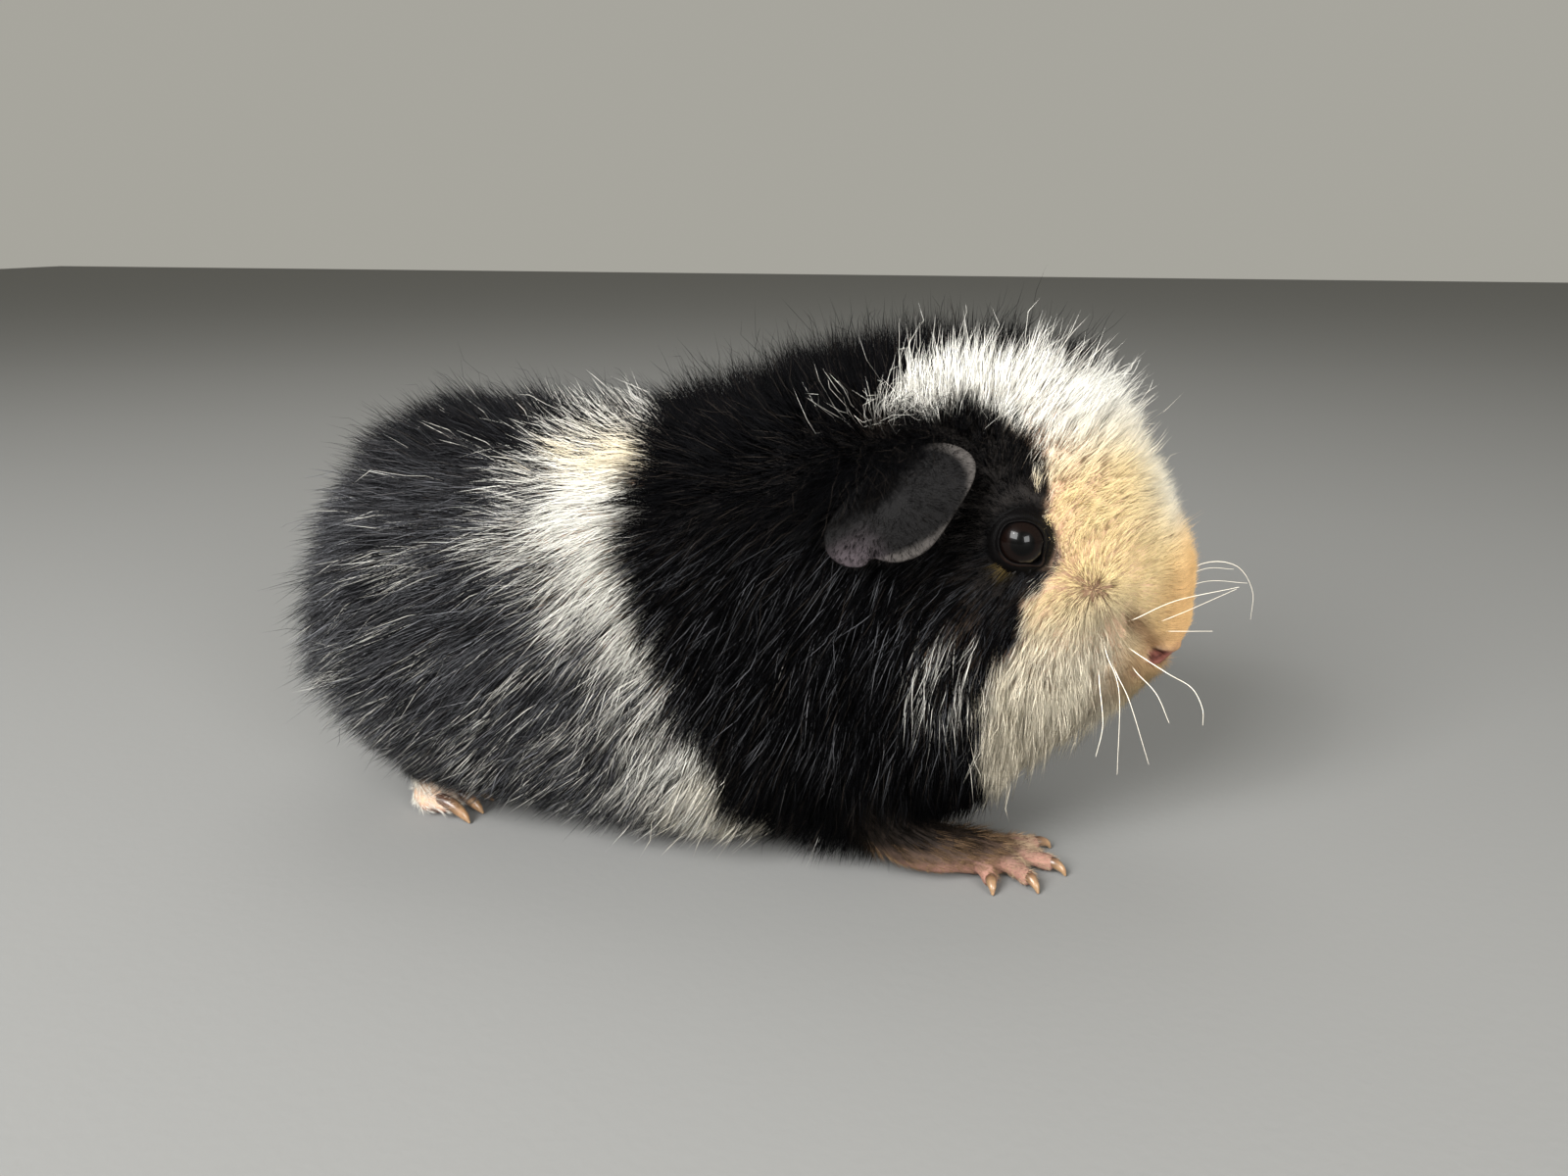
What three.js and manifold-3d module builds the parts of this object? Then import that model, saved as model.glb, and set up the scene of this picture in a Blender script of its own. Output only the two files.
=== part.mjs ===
// A guinea pig in a short dense coat, life size, standing with the head up.
// Millimetres. +X is toward the nose, +Y the animal's left, +Z up, the floor at z = 0.
// The solids reach out to the tips of the coat. Claws and eyes are nodes of their own.
import * as THREE from 'three';
import Module from 'manifold-3d';

const wasm = await Module();
wasm.setup();
const { Manifold, Mesh } = wasm;

// ---- driving sizes, mm and degrees ----
const GAP = 0.3;            // cut between neighbouring nodes
const BLEND = 6;            // how softly the masses of the body flow together
const BELLY_CLEAR = 3.2;    // underside of the coat above the floor
const BELLY_SOFT = 2.4;     // rounding where the belly flattens
const CORE_REAR = -76;      // the line the body is swept about, rear and front ends
const CORE_FRONT = 60;
const CAP_REAR = 0.22;      // share of the sections used by the rounded rear
const CAP_FRONT = 0.38;     // and by the head end
const SECTIONS = 26;
const AROUND = 26;

const RUMP_CUT = { x: -52, z: 60, lean: 12 };       // planes that part the body, lean in degrees
const TRUNK_CUT = { x: 0, z: 60, lean: -4 };
const SHOULDER_CUT = { x: 27, z: 70, lean: -24 };
const NECK_CUT = { x: 41, z: 76, lean: -30 };
const MUZZLE_CUT = { x: 77, z: 66, lean: -36 };
const JAW_CUT = { x: 92, z: 43.4, lean: -104 };

const EYE = { x: 61.0, y: 26.0, z: 79.9, r: 5.9 };
const EAR = { x: 36.2, y: 39.6, z: 89.1, long: 17.0, short: 10.3, thick: 1.8, cup: 2.4, notch: 1.7 };
const NOSE = { x: 92.8, y: 0, z: 49.8, rx: 4.6, ry: 5.4, rz: 4.4, pitch: 32 };

const THIGH = { x: -68, y: 32, z: 37, rx: 32, ry: 26, rz: 38 };
const UPPER_ARM = { x: 27, y: 34, z: 34, rx: 19, ry: 18, rz: 31 };

const FORE_STEP = { left: -23, right: 0 };    // where each foot is along its stride
const HIND_STEP = { left: 9, right: 0 };

const FORE_CLAW = 1.5;      // radius of a claw where it leaves the toe
const HIND_CLAW = 1.85;

// room in the coat above each foot
const FORE_HOLLOW = { x: 60, y: 22.5, r: [13.5, 13.5, 9] };
const HIND_HOLLOW = { x: -79.5, y: 23.8, r: [13.5, 10.5, 9.5] };

const FORE_TOES = [
  { root: [60.4, -16.3], end: [67.4, -10.4], width: 2.2, claw: [71.2, -8.6] },
  { root: [62.0, -19.4], end: [71.2, -19.6], width: 2.5, claw: [75.2, -21.2] },
  { root: [60.8, -23.6], end: [66.8, -27.4], width: 2.5, claw: [69.6, -30.6] },
  { root: [56.2, -26.0], end: [58.9, -29.9], width: 2.3, claw: [59.9, -33.8] },
];
const HIND_TOES = [
  { root: [-81.2, -20.2], end: [-76.4, -18.6], width: 2.5, claw: [-69.4, -17.6], lift: 1.4 },
  { root: [-81.0, -24.2], end: [-75.4, -24.0], width: 2.7, claw: [-68.6, -24.8], lift: 1.4 },
  { root: [-81.4, -28.0], end: [-76.4, -28.9], width: 2.5, claw: [-69.4, -30.4], lift: 1.4 },
];

const COLOURS = {
  black: 0x151412,
  grey: 0x45443f,
  white: 0xe9e3d2,
  cream: 0xd9c49c,
  ear: 0x3a3533,
  skin: 0x9c6f62,
  claw: 0x8d6a48,
  eye: 0x0d0a09,
};

// The masses of the body: centre, half sizes, pitch (nose-down degrees). Paired ones are mirrored.
const MASSES = [
  { c: [-74, 0, 55], r: [45, 43, 49] },                           // rump
  { c: [-48, 0, 56], r: [48, 46, 45] },                           // loin
  { c: [-14, 0, 57], r: [50, 49, 49] },                           // barrel
  { c: [-18, 0, 38], r: [62, 47, 41] },                           // belly
  { c: [16, 0, 63], r: [41, 43, 53] },                            // shoulders
  { c: [38, 0, 88], r: [31, 32, 33] },                            // crest
  { c: [59, 0, 93], r: [23.5, 22, 26] },                          // forehead
  { c: [53, 0, 80], r: [29, 17, 30], pitch: 35 },                 // skull
  { c: [72.5, 0, 74], r: [23.5, 11, 20.6], pitch: 56 },           // bridge of the nose
  { c: [82, 0, 59], r: [15.2, 9.5, 16.2], pitch: 40 },            // muzzle
  { c: [54, 14, 56], r: [20, 15.5, 23], pitch: 25, paired: true },// cheeks
  { c: [69, 0, 45], r: [17.2, 11, 17.2], pitch: 30 },             // chin
  { c: [41, 0, 40], r: [29, 31, 34] },                            // chest
  { c: [-66, 22, 44], r: [32, 22, 34], paired: true },            // haunches
  { c: [27, 23, 38], r: [22, 17, 32], paired: true },             // upper arms
];

// ---- shape functions ----

const radians = (degrees) => (degrees * Math.PI) / 180;

function expandMasses() {
  const out = [];
  for (const mass of MASSES) {
    const sides = mass.paired ? [1, -1] : [1];
    for (const side of sides) {
      const pitch = radians(mass.pitch ?? 0);
      const c = [mass.c[0], mass.c[1] * side, mass.c[2]];
      out.push({ c, r: mass.r, cos: Math.cos(pitch), sin: Math.sin(pitch) });
    }
  }
  return out;
}

const ALL_MASSES = expandMasses();

// Signed distance to one mass, near enough: n (n - 1) / |grad n|, with n the scaled length.
function massDistance(p, mass) {
  const dx = p[0] - mass.c[0];
  const dy = p[1] - mass.c[1];
  const dz = p[2] - mass.c[2];
  const a = (dx * mass.cos - dz * mass.sin) / mass.r[0];
  const b = dy / mass.r[1];
  const c = (dx * mass.sin + dz * mass.cos) / mass.r[2];
  const n = Math.hypot(a, b, c);
  const g = Math.hypot(a / mass.r[0], b / mass.r[1], c / mass.r[2]);
  return (n * (n - 1)) / Math.max(g, 1e-9);
}

// The masses run together: -BLEND * log(sum(exp(-d / BLEND))).
function bodyDistance(p) {
  const all = ALL_MASSES.map((mass) => massDistance(p, mass));
  const least = Math.min(...all);
  let sum = 0;
  for (const d of all) {
    sum += Math.exp(-(d - least) / BLEND);
  }
  return least - BLEND * Math.log(sum);
}

function coreHeight(x) {
  const t = (x - CORE_REAR) / (CORE_FRONT - CORE_REAR);
  return 54 + 14 * t * t * (3 - 2 * t);
}

// A point of the coat's outline: u runs tail to nose, v around from the spine toward the left.
function bodyPoint(u, v) {
  let swing = Math.PI / 2;
  if (u < CAP_REAR) {
    swing = (u / CAP_REAR) * (Math.PI / 2);
  } else if (u > 1 - CAP_FRONT) {
    swing = Math.PI / 2 + ((u - (1 - CAP_FRONT)) / CAP_FRONT) * (Math.PI / 2);
  }
  const t = THREE.MathUtils.clamp((u - CAP_REAR) / (1 - CAP_REAR - CAP_FRONT), 0, 1);
  const x = CORE_REAR + (CORE_FRONT - CORE_REAR) * t;
  const origin = [x, 0, coreHeight(x)];
  const way = [-Math.cos(swing), Math.sin(swing) * Math.sin(v), Math.sin(swing) * Math.cos(v)];
  let reach = 3;
  for (let step = 0; step < 60; step += 1) {
    const p = [origin[0] + way[0] * reach, origin[1] + way[1] * reach, origin[2] + way[2] * reach];
    reach += THREE.MathUtils.clamp(-bodyDistance(p), -8, 8) * 0.8;
  }
  const z = origin[2] + way[2] * reach;
  const lift = z - BELLY_CLEAR;
  const soft = BELLY_CLEAR + 0.5 * (lift + Math.sqrt(lift * lift + BELLY_SOFT * BELLY_SOFT));
  return [origin[0] + way[0] * reach, origin[1] + way[1] * reach, soft];
}

// ---- from rows of points to closed solids ----

function solid(points, faces) {
  const mesh = new Mesh({
    numProp: 3,
    vertProperties: new Float32Array(points.flat()),
    triVerts: new Uint32Array(faces.flat()),
  });
  return new Manifold(mesh);
}

// Rings of equal count, a point at each end; ring order and winding face outward along the path.
function closedRings(rings, first, last) {
  const count = rings[0].length;
  const points = [first, ...rings.flat(), last];
  const faces = [];
  const at = (ring, k) => 1 + ring * count + (k % count);
  for (let k = 0; k < count; k += 1) {
    faces.push([0, at(0, k + 1), at(0, k)]);
    faces.push([points.length - 1, at(rings.length - 1, k), at(rings.length - 1, k + 1)]);
  }
  for (let ring = 0; ring + 1 < rings.length; ring += 1) {
    for (let k = 0; k < count; k += 1) {
      faces.push([at(ring, k), at(ring, k + 1), at(ring + 1, k + 1)]);
      faces.push([at(ring, k), at(ring + 1, k + 1), at(ring + 1, k)]);
    }
  }
  return solid(points, faces);
}

function bodySolid() {
  const rings = [];
  for (let i = 1; i < SECTIONS; i += 1) {
    const ring = [];
    for (let k = 0; k < AROUND; k += 1) {
      ring.push(bodyPoint(i / SECTIONS, (-2 * Math.PI * k) / AROUND));
    }
    rings.push(ring);
  }
  return closedRings(rings, bodyPoint(0, 0), bodyPoint(1, 0));
}

function ellipsoid(c, r, pitch, across, along) {
  const rings = [];
  const tilt = radians(pitch);
  const place = (x, y, z) => [
    c[0] + x * Math.cos(tilt) + z * Math.sin(tilt),
    c[1] + y,
    c[2] - x * Math.sin(tilt) + z * Math.cos(tilt),
  ];
  for (let i = 1; i < along; i += 1) {
    const swing = (Math.PI * i) / along;
    const ring = [];
    for (let k = 0; k < across; k += 1) {
      const v = (-2 * Math.PI * k) / across;
      const wide = Math.sin(swing);
      ring.push(place(-r[0] * Math.cos(swing), r[1] * wide * Math.sin(v), r[2] * wide * Math.cos(v)));
    }
    rings.push(ring);
  }
  return closedRings(rings, place(-r[0], 0, 0), place(r[0], 0, 0));
}

// A round limb along a smooth path: stations of [x, y, z, radius]. Its ends are domed,
// or flat where flatStart or flatEnd says so.
function limb(stations, around, steps, { grow = 0, flatStart = false, flatEnd = false } = {}) {
  const path = new THREE.CatmullRomCurve3(stations.map((s) => new THREE.Vector3(s[0], s[1], s[2])));
  const radii = stations.map((s) => s[3]);
  const radiusAt = (t) => {
    const place = t * (radii.length - 1);
    const low = Math.min(Math.floor(place), radii.length - 2);
    return radii[low] + (radii[low + 1] - radii[low]) * (place - low) + grow;
  };
  const rings = [];
  const ringAt = (centre, forward, radius) => {
    const up = new THREE.Vector3().crossVectors(forward, new THREE.Vector3(0, 1, 0)).normalize();
    const side = new THREE.Vector3().crossVectors(up, forward).normalize();
    const ring = [];
    for (let k = 0; k < around; k += 1) {
      const v = (2 * Math.PI * (k + 0.5)) / around;
      const p = centre.clone();
      p.addScaledVector(side, radius * Math.cos(v));
      p.addScaledVector(up, radius * Math.sin(v));
      ring.push(p.toArray());
    }
    return ring;
  };
  const start = path.getPoint(0);
  const startWay = path.getTangent(0);
  const end = path.getPoint(1);
  const endWay = path.getTangent(1);
  const first = start.clone().addScaledVector(startWay, flatStart ? 0 : -radiusAt(0));
  const last = end.clone().addScaledVector(endWay, flatEnd ? 0 : radiusAt(1));
  if (!flatStart) {
    const back = start.clone().addScaledVector(startWay, -0.7 * radiusAt(0));
    rings.push(ringAt(back, startWay, 0.7 * radiusAt(0)));
  }
  for (let i = 0; i <= steps; i += 1) {
    const t = i / steps;
    rings.push(ringAt(path.getPoint(t), path.getTangent(t), radiusAt(t)));
  }
  if (!flatEnd) {
    const ahead = end.clone().addScaledVector(endWay, 0.7 * radiusAt(1));
    rings.push(ringAt(ahead, endWay, 0.7 * radiusAt(1)));
  }
  return closedRings(rings, first.toArray(), last.toArray());
}

// A big block whose top face is the plane through (x, z), leaning in the XZ plane.
// lean 0 faces +X, and the block lies behind that face; shift moves the face forward.
function behindPlane(cut, shift) {
  const size = 400;
  const lean = radians(cut.lean);
  const face = [Math.cos(lean), Math.sin(lean)];
  const along = [-face[1], face[0]];
  const corner = (forward, up, y) => [
    cut.x + face[0] * forward + along[0] * up,
    y,
    cut.z + face[1] * forward + along[1] * up,
  ];
  const points = [];
  for (const y of [-size, size]) {
    points.push(corner(shift - size, -size, y));
    points.push(corner(shift, -size, y));
    points.push(corner(shift, size, y));
    points.push(corner(shift - size, size, y));
  }
  const faces = [
    [0, 1, 2], [0, 2, 3], [4, 6, 5], [4, 7, 6], [0, 5, 1], [0, 4, 5],
    [1, 6, 2], [1, 5, 6], [2, 7, 3], [2, 6, 7], [3, 4, 0], [3, 7, 4],
  ];
  return solid(points, faces);
}

// Splits a body at a plane and returns [behind, ahead], parted by the gap.
function split(body, cut) {
  const behind = body.intersect(behindPlane(cut, -GAP / 2));
  const ahead = body.subtract(behindPlane(cut, GAP / 2));
  return [behind, ahead];
}

const FLOOR_PLANE = { x: 0, z: 0, lean: -90 };

function aboveFloor(body, height = 0) {
  return body.intersect(behindPlane(FLOOR_PLANE, -height));
}

// ---- parts ----

function eyeSolid(side, grow = 0) {
  const r = EYE.r + grow;
  return ellipsoid([EYE.x, EYE.y * side, EYE.z], [r, r, r], 0, 12, 7);
}

// A cupped petal: an ellipse that is fuller below and drawn in above and behind, with a notch in
// its lower rim, thickened both ways.
function earSolid(side, grow = 0) {
  const thick = EAR.thick / 2 + grow;
  const longWay = new THREE.Vector3(0.81, 0.2, 0.55).normalize();
  const shortWay = new THREE.Vector3(0.52, -0.42, -0.74).normalize();
  const outWay = new THREE.Vector3().crossVectors(longWay, shortWay).normalize();
  const around = 20;
  const place = (share, angle, lift) => {
    const notch = Math.exp(-(((angle - radians(120)) / 0.13) ** 2)) * EAR.notch;
    const tip = 1 + 0.1 * Math.max(0, Math.cos(angle - radians(12))) ** 6;
    const full = 0.14 * Math.exp(-(((angle - radians(88)) / radians(20)) ** 2));
    const drawn = 0.25 * Math.exp(-(((angle - radians(248)) / radians(50)) ** 2));
    const wide = share * (1 + full - drawn);
    const p = new THREE.Vector3(EAR.x, -EAR.y, EAR.z);
    const a = (EAR.long + grow) * wide * Math.cos(angle) * tip;
    const b = (EAR.short + grow) * wide * Math.sin(angle) - notch * share ** 3;
    p.addScaledVector(longWay, a);
    p.addScaledVector(shortWay, b);
    p.addScaledVector(outWay, lift + EAR.cup * (share * share * (0.6 + 0.4 * Math.sin(angle)) - 0.4));
    return [p.x, p.y * side * -1, p.z];
  };
  const shares = [0.5, 0.92, 1];
  const lifts = [1, 0.9, 0.3];
  const rings = [];
  const addRing = (index, way) => {
    const ring = [];
    for (let k = 0; k < around; k += 1) {
      ring.push(place(shares[index], (2 * Math.PI * k) / around, way * lifts[index] * thick));
    }
    rings.push(ring);
  };
  for (let i = 0; i < shares.length; i += 1) {
    addRing(i, -1);
  }
  for (let i = shares.length - 1; i >= 0; i -= 1) {
    addRing(i, 1);
  }
  const turned = side < 0 ? rings : rings.map((ring) => [...ring].reverse());
  return closedRings(turned, place(0, 0, -thick), place(0, 0, thick));
}

function noseSolid(grow = 0) {
  const half = [NOSE.rx + grow, NOSE.ry + grow, NOSE.rz + grow];
  return ellipsoid([NOSE.x, NOSE.y, NOSE.z], half, NOSE.pitch, 10, 6);
}

// The rounded mass of a thigh or an upper arm, which takes its share out of the body.
function limbMass(spec, side, grow = 0) {
  const half = [spec.rx + grow, spec.ry + grow, spec.rz + grow];
  return ellipsoid([spec.x, spec.y * side, spec.z], half, 0, 14, 8);
}

const onSide = (stations, side, step) => {
  const shift = side > 0 ? step.left : step.right;
  return stations.map(([x, y, z, r]) => [x + shift, y * -side, z, r]);
};

function forearm(side, grow = 0) {
  const stations = [[30, -29, 22, 9], [36, -29.5, 12, 8.5], [45, -28, 8, 7.2], [52.5, -24.8, 6.6, 6]];
  return limb(onSide(stations, side, FORE_STEP), 10, 3, { grow });
}

function shin(side, grow = 0) {
  const stations = [
    [-72, -30, 22, 10],
    [-77.5, -28, 18, 9],
    [-80.4, -25.6, 12, 6.4],
    [-80.9, -24.4, 8, 5.4],
  ];
  return limb(onSide(stations, side, HIND_STEP), 10, 3, { grow });
}

function toe(spec, side, step, grow) {
  const [rx, ry] = spec.root;
  const [ex, ey] = spec.end;
  const w = spec.width;
  const lift = spec.lift ?? 0;    // how far the end of the toe is bent up off the floor
  const mx = (rx + ex) / 2;
  const my = (ry + ey) / 2;
  const stations = [
    [rx, ry, w + 1.2, w * 1.08],
    [mx, my, w + 0.9 + lift / 2, w],
    [ex, ey, w * 0.9 + lift, w * 0.78],
  ];
  return limb(onSide(stations, side, step), 8, 2, { grow, flatEnd: true });
}

function forefoot(side, grow = 0) {
  const palm = [[53.4, -24.2, 4.9, 5.4], [58.6, -22.4, 4.2, 5.2]];
  const heel = [[57, -19.4, 4, 4.4], [57, -25.6, 4, 4.4]];
  let foot = limb(onSide(palm, side, FORE_STEP), 10, 1, { grow });
  foot = foot.add(limb(onSide(heel, side, FORE_STEP), 8, 1, { grow }));
  for (const spec of FORE_TOES) {
    foot = foot.add(toe(spec, side, FORE_STEP, grow));
  }
  return aboveFloor(foot, grow > 0 ? -1 : 0);
}

function hindfoot(side, grow = 0) {
  const sole = [[-82.4, -24.4, 4.4, 5], [-81, -24.2, 4.1, 5.2], [-79.6, -24, 4, 5.2]];
  let foot = limb(onSide(sole, side, HIND_STEP), 10, 2, { grow });
  for (const spec of HIND_TOES) {
    foot = foot.add(toe(spec, side, HIND_STEP, grow));
  }
  return aboveFloor(foot, grow > 0 ? -1 : 0);
}

// A flattened ball over a foot, moved with it along the stride.
function footHollow(side, spec, step) {
  const shift = side > 0 ? step.left : step.right;
  return ellipsoid([spec.x + shift, spec.y * side, 2], spec.r, 0, 10, 6);
}

// A claw leaves the flat end of the toe and curves down to just off the floor.
function clawSolid(spec, side, size, step) {
  const [rx, ry] = spec.root;
  const [ex, ey] = spec.end;
  const [cx, cy] = spec.claw;
  const share = (GAP + 0.6) / Math.hypot(ex - rx, ey - ry);
  const rise = spec.width * 0.9 + (spec.lift ?? 0);
  const stations = [
    [ex + (ex - rx) * share, ey + (ey - ry) * share, rise, size],
    [ex + (cx - ex) * 0.45, ey + (cy - ey) * 0.45, rise + 0.1, size * 0.88],
    [ex + (cx - ex) * 0.8, ey + (cy - ey) * 0.8, 1.35, size * 0.62],
    [cx, cy, 0.6, 0.34],
  ];
  return aboveFloor(limb(onSide(stations, side, step), 6, 3, { flatStart: true }), 0.12);
}

// ---- assembly ----

const materials = {};
for (const [name, colour] of Object.entries(COLOURS)) {
  materials[name] = new THREE.MeshStandardMaterial({ color: colour, roughness: 0.85, metalness: 0 });
}
materials.eye.roughness = 0.08;
materials.claw.roughness = 0.45;
materials.skin.roughness = 0.6;

function geometryOf(body) {
  const mesh = body.getMesh();
  const geometry = new THREE.BufferGeometry();
  const count = mesh.vertProperties.length / mesh.numProp;
  const positions = new Float32Array(count * 3);
  for (let i = 0; i < count; i += 1) {
    for (let k = 0; k < 3; k += 1) {
      positions[i * 3 + k] = mesh.vertProperties[i * mesh.numProp + k];
    }
  }
  geometry.setAttribute('position', new THREE.BufferAttribute(positions, 3));
  geometry.setIndex(new THREE.BufferAttribute(new Uint32Array(mesh.triVerts), 1));
  geometry.computeVertexNormals();
  return geometry;
}

const root = new THREE.Group();
root.name = 'guinea_pig';
const animal = new THREE.Group();
animal.name = 'animal';
root.add(animal);

function addNode(name, body, material) {
  const mesh = new THREE.Mesh(geometryOf(body), material);
  mesh.name = name;
  animal.add(mesh);
}

function buildAnimal() {
  let body = bodySolid();
  const sides = [[1, 'left'], [-1, 'right']];

  for (const [side, label] of sides) {
    const foreClaws = FORE_TOES.map((spec) => clawSolid(spec, side, FORE_CLAW, FORE_STEP));
    const hindClaws = HIND_TOES.map((spec) => clawSolid(spec, side, HIND_CLAW, HIND_STEP));
    body = body.subtract(footHollow(side, FORE_HOLLOW, FORE_STEP));
    body = body.subtract(footHollow(side, HIND_HOLLOW, HIND_STEP));
    const armAndForearm = body.intersect(limbMass(UPPER_ARM, side)).add(forearm(side));
    const thighAndShin = body.intersect(limbMass(THIGH, side)).add(shin(side));
    const foreLeg = aboveFloor(armAndForearm).subtract(forefoot(side, GAP));
    const hindLeg = aboveFloor(thighAndShin).subtract(hindfoot(side, GAP));
    body = body.subtract(limbMass(THIGH, side, GAP)).subtract(limbMass(UPPER_ARM, side, GAP));
    body = body.subtract(forearm(side, GAP)).subtract(shin(side, GAP));

    addNode(`foreleg_${label}`, foreLeg, materials.black);
    addNode(`hindleg_${label}`, hindLeg, materials.grey);
    addNode(`forefoot_${label}`, forefoot(side), materials.skin);
    addNode(`hindfoot_${label}`, hindfoot(side), materials.skin);
    foreClaws.forEach((claw, i) => addNode(`foreclaw_${label}_${i + 1}`, claw, materials.claw));
    hindClaws.forEach((claw, i) => addNode(`hindclaw_${label}_${i + 1}`, claw, materials.claw));
  }

  const [rump, rest1] = split(body, RUMP_CUT);
  const [trunk, rest2] = split(rest1, TRUNK_CUT);
  const [shoulders, rest3] = split(rest2, SHOULDER_CUT);
  const [neck, rest4] = split(rest3, NECK_CUT);
  let head = rest4;
  for (const [side, label] of sides) {
    head = head.subtract(eyeSolid(side, GAP)).subtract(earSolid(side, GAP));
    addNode(`eye_${label}`, eyeSolid(side), materials.eye);
    addNode(`ear_${label}`, earSolid(side), materials.ear);
  }
  const bothEars = earSolid(1, GAP).add(earSolid(-1, GAP));
  const [skull, front] = split(head, MUZZLE_CUT);
  const [muzzle, jaw] = split(front.subtract(noseSolid(GAP)), JAW_CUT);

  addNode('rump', rump, materials.grey);
  addNode('trunk', trunk, materials.white);
  addNode('shoulders', shoulders.subtract(bothEars), materials.black);
  addNode('neck', neck.subtract(bothEars), materials.black);
  addNode('head', skull, materials.black);
  addNode('muzzle', muzzle, materials.cream);
  addNode('lower_jaw', jaw, materials.cream);
  addNode('nose', noseSolid(), materials.skin);
}

buildAnimal();

const box = new THREE.Box3().setFromObject(animal);
animal.position.set(-(box.min.x + box.max.x) / 2, -(box.min.y + box.max.y) / 2, -box.min.z);

export default root;
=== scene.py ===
import bpy
import numpy as np
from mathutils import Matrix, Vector


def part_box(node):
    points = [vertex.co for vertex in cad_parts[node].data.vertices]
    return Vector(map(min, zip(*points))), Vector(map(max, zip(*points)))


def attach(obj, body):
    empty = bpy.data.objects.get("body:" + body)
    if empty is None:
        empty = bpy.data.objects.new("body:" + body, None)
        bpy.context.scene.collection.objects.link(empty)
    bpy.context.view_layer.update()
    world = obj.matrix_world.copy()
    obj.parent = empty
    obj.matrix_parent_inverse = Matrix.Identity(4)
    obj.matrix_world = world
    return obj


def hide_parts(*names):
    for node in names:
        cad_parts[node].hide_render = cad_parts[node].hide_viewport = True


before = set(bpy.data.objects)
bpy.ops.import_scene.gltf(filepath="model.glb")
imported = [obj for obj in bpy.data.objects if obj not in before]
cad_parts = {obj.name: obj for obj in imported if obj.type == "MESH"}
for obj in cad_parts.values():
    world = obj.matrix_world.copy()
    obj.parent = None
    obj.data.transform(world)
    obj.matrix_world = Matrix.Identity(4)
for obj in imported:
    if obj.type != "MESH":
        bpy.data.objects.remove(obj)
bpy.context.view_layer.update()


# ---- The form under the coat --------------------------------------------------------------
# A guinea pig is a barrel of gut and muscle with no neck to see. Its outline is a row of
# rounded masses that run into one another, the same ones that the solids are made from.

EYE = np.array([61.0, 26.0, 79.9])       # left eyeball's centre, in the body's millimetres
EYE_RADIUS = 5.9
BLEND = 6.0                               # how softly the masses run together
CORE_REAR, CORE_FRONT = -76.0, 60.0       # ends of the line that the outline is swept about
CORE_HEIGHT, CORE_RISE = 54.0, 14.0       # height of that line at the rear, and its rise to the front
CAP_REAR, CAP_FRONT = 0.22, 0.38          # shares of the sweep that round the rear and the face
BELLY_CLEAR, BELLY_SOFT = 3.2, 2.4        # the coat's lowest height, and how gently it gets there
BELLY_COAT = 2.5                          # depth of the coat under the belly

# centre, half sizes, nose-down pitch in degrees, whether there is one each side
MASSES = [
    ([-74, 0, 55], [45, 43, 49], 0, False),            # rump
    ([-48, 0, 56], [48, 46, 45], 0, False),            # loin
    ([-14, 0, 57], [50, 49, 49], 0, False),            # barrel
    ([-18, 0, 38], [62, 47, 41], 0, False),            # belly
    ([16, 0, 63], [41, 43, 53], 0, False),             # shoulders
    ([38, 0, 88], [31, 32, 33], 0, False),             # crest
    ([59, 0, 93], [23.5, 22, 26], 0, False),           # forehead
    ([53, 0, 80], [29, 17, 30], 35, False),            # skull
    ([72.5, 0, 74], [23.5, 11, 20.6], 56, False),      # bridge of the nose
    ([82, 0, 59], [15.2, 9.5, 16.2], 40, False),       # muzzle
    ([54, 14, 56], [20, 15.5, 23], 25, True),          # cheeks
    ([69, 0, 45], [17.2, 11, 17.2], 30, False),        # chin
    ([41, 0, 40], [29, 31, 34], 0, False),             # chest
    ([-66, 22, 44], [32, 22, 34], 0, True),            # haunches
    ([27, 23, 38], [22, 17, 32], 0, True),             # upper arms
]

eye_low, eye_high = (np.array(corner) * 1000 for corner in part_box("eye_left"))
BODY_ZERO = np.array([(eye_low[0] + eye_high[0]) / 2 - EYE[0], 0, 0])


def to_frame(points):
    """Body millimetres to the frame's metres: add the body's zero, and divide by a thousand."""
    return (np.asarray(points, float) + BODY_ZERO) / 1000


def body_distance(p):
    """Distance of points outside the coat's outline. For one mass it is n(n - 1) / g, with n the
    length scaled by the half sizes and g its slope; all are blended as -B log(sum(exp(-d / B)))."""
    total = np.zeros(p.shape[:-1])
    for centre, half, pitch, paired in MASSES:
        cos, sin = np.cos(np.radians(pitch)), np.sin(np.radians(pitch))
        for side in ((1, -1) if paired else (1,)):
            d = p - np.array(centre) * (1, side, 1)
            a = (d[..., 0] * cos - d[..., 2] * sin) / half[0]
            b = d[..., 1] / half[1]
            c = (d[..., 0] * sin + d[..., 2] * cos) / half[2]
            n = np.sqrt(a * a + b * b + c * c)
            g = np.sqrt((a / half[0]) ** 2 + (b / half[1]) ** 2 + (c / half[2]) ** 2)
            total += np.exp(-n * (n - 1) / np.maximum(g, 1e-9) / BLEND)
    return -BLEND * np.log(total)


def ease(x, low, high):
    """0 below low and 1 above high, with t t (3 - 2 t) between them."""
    t = np.clip((x - low) / (high - low), 0, 1)
    return t * t * (3 - 2 * t)


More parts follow.
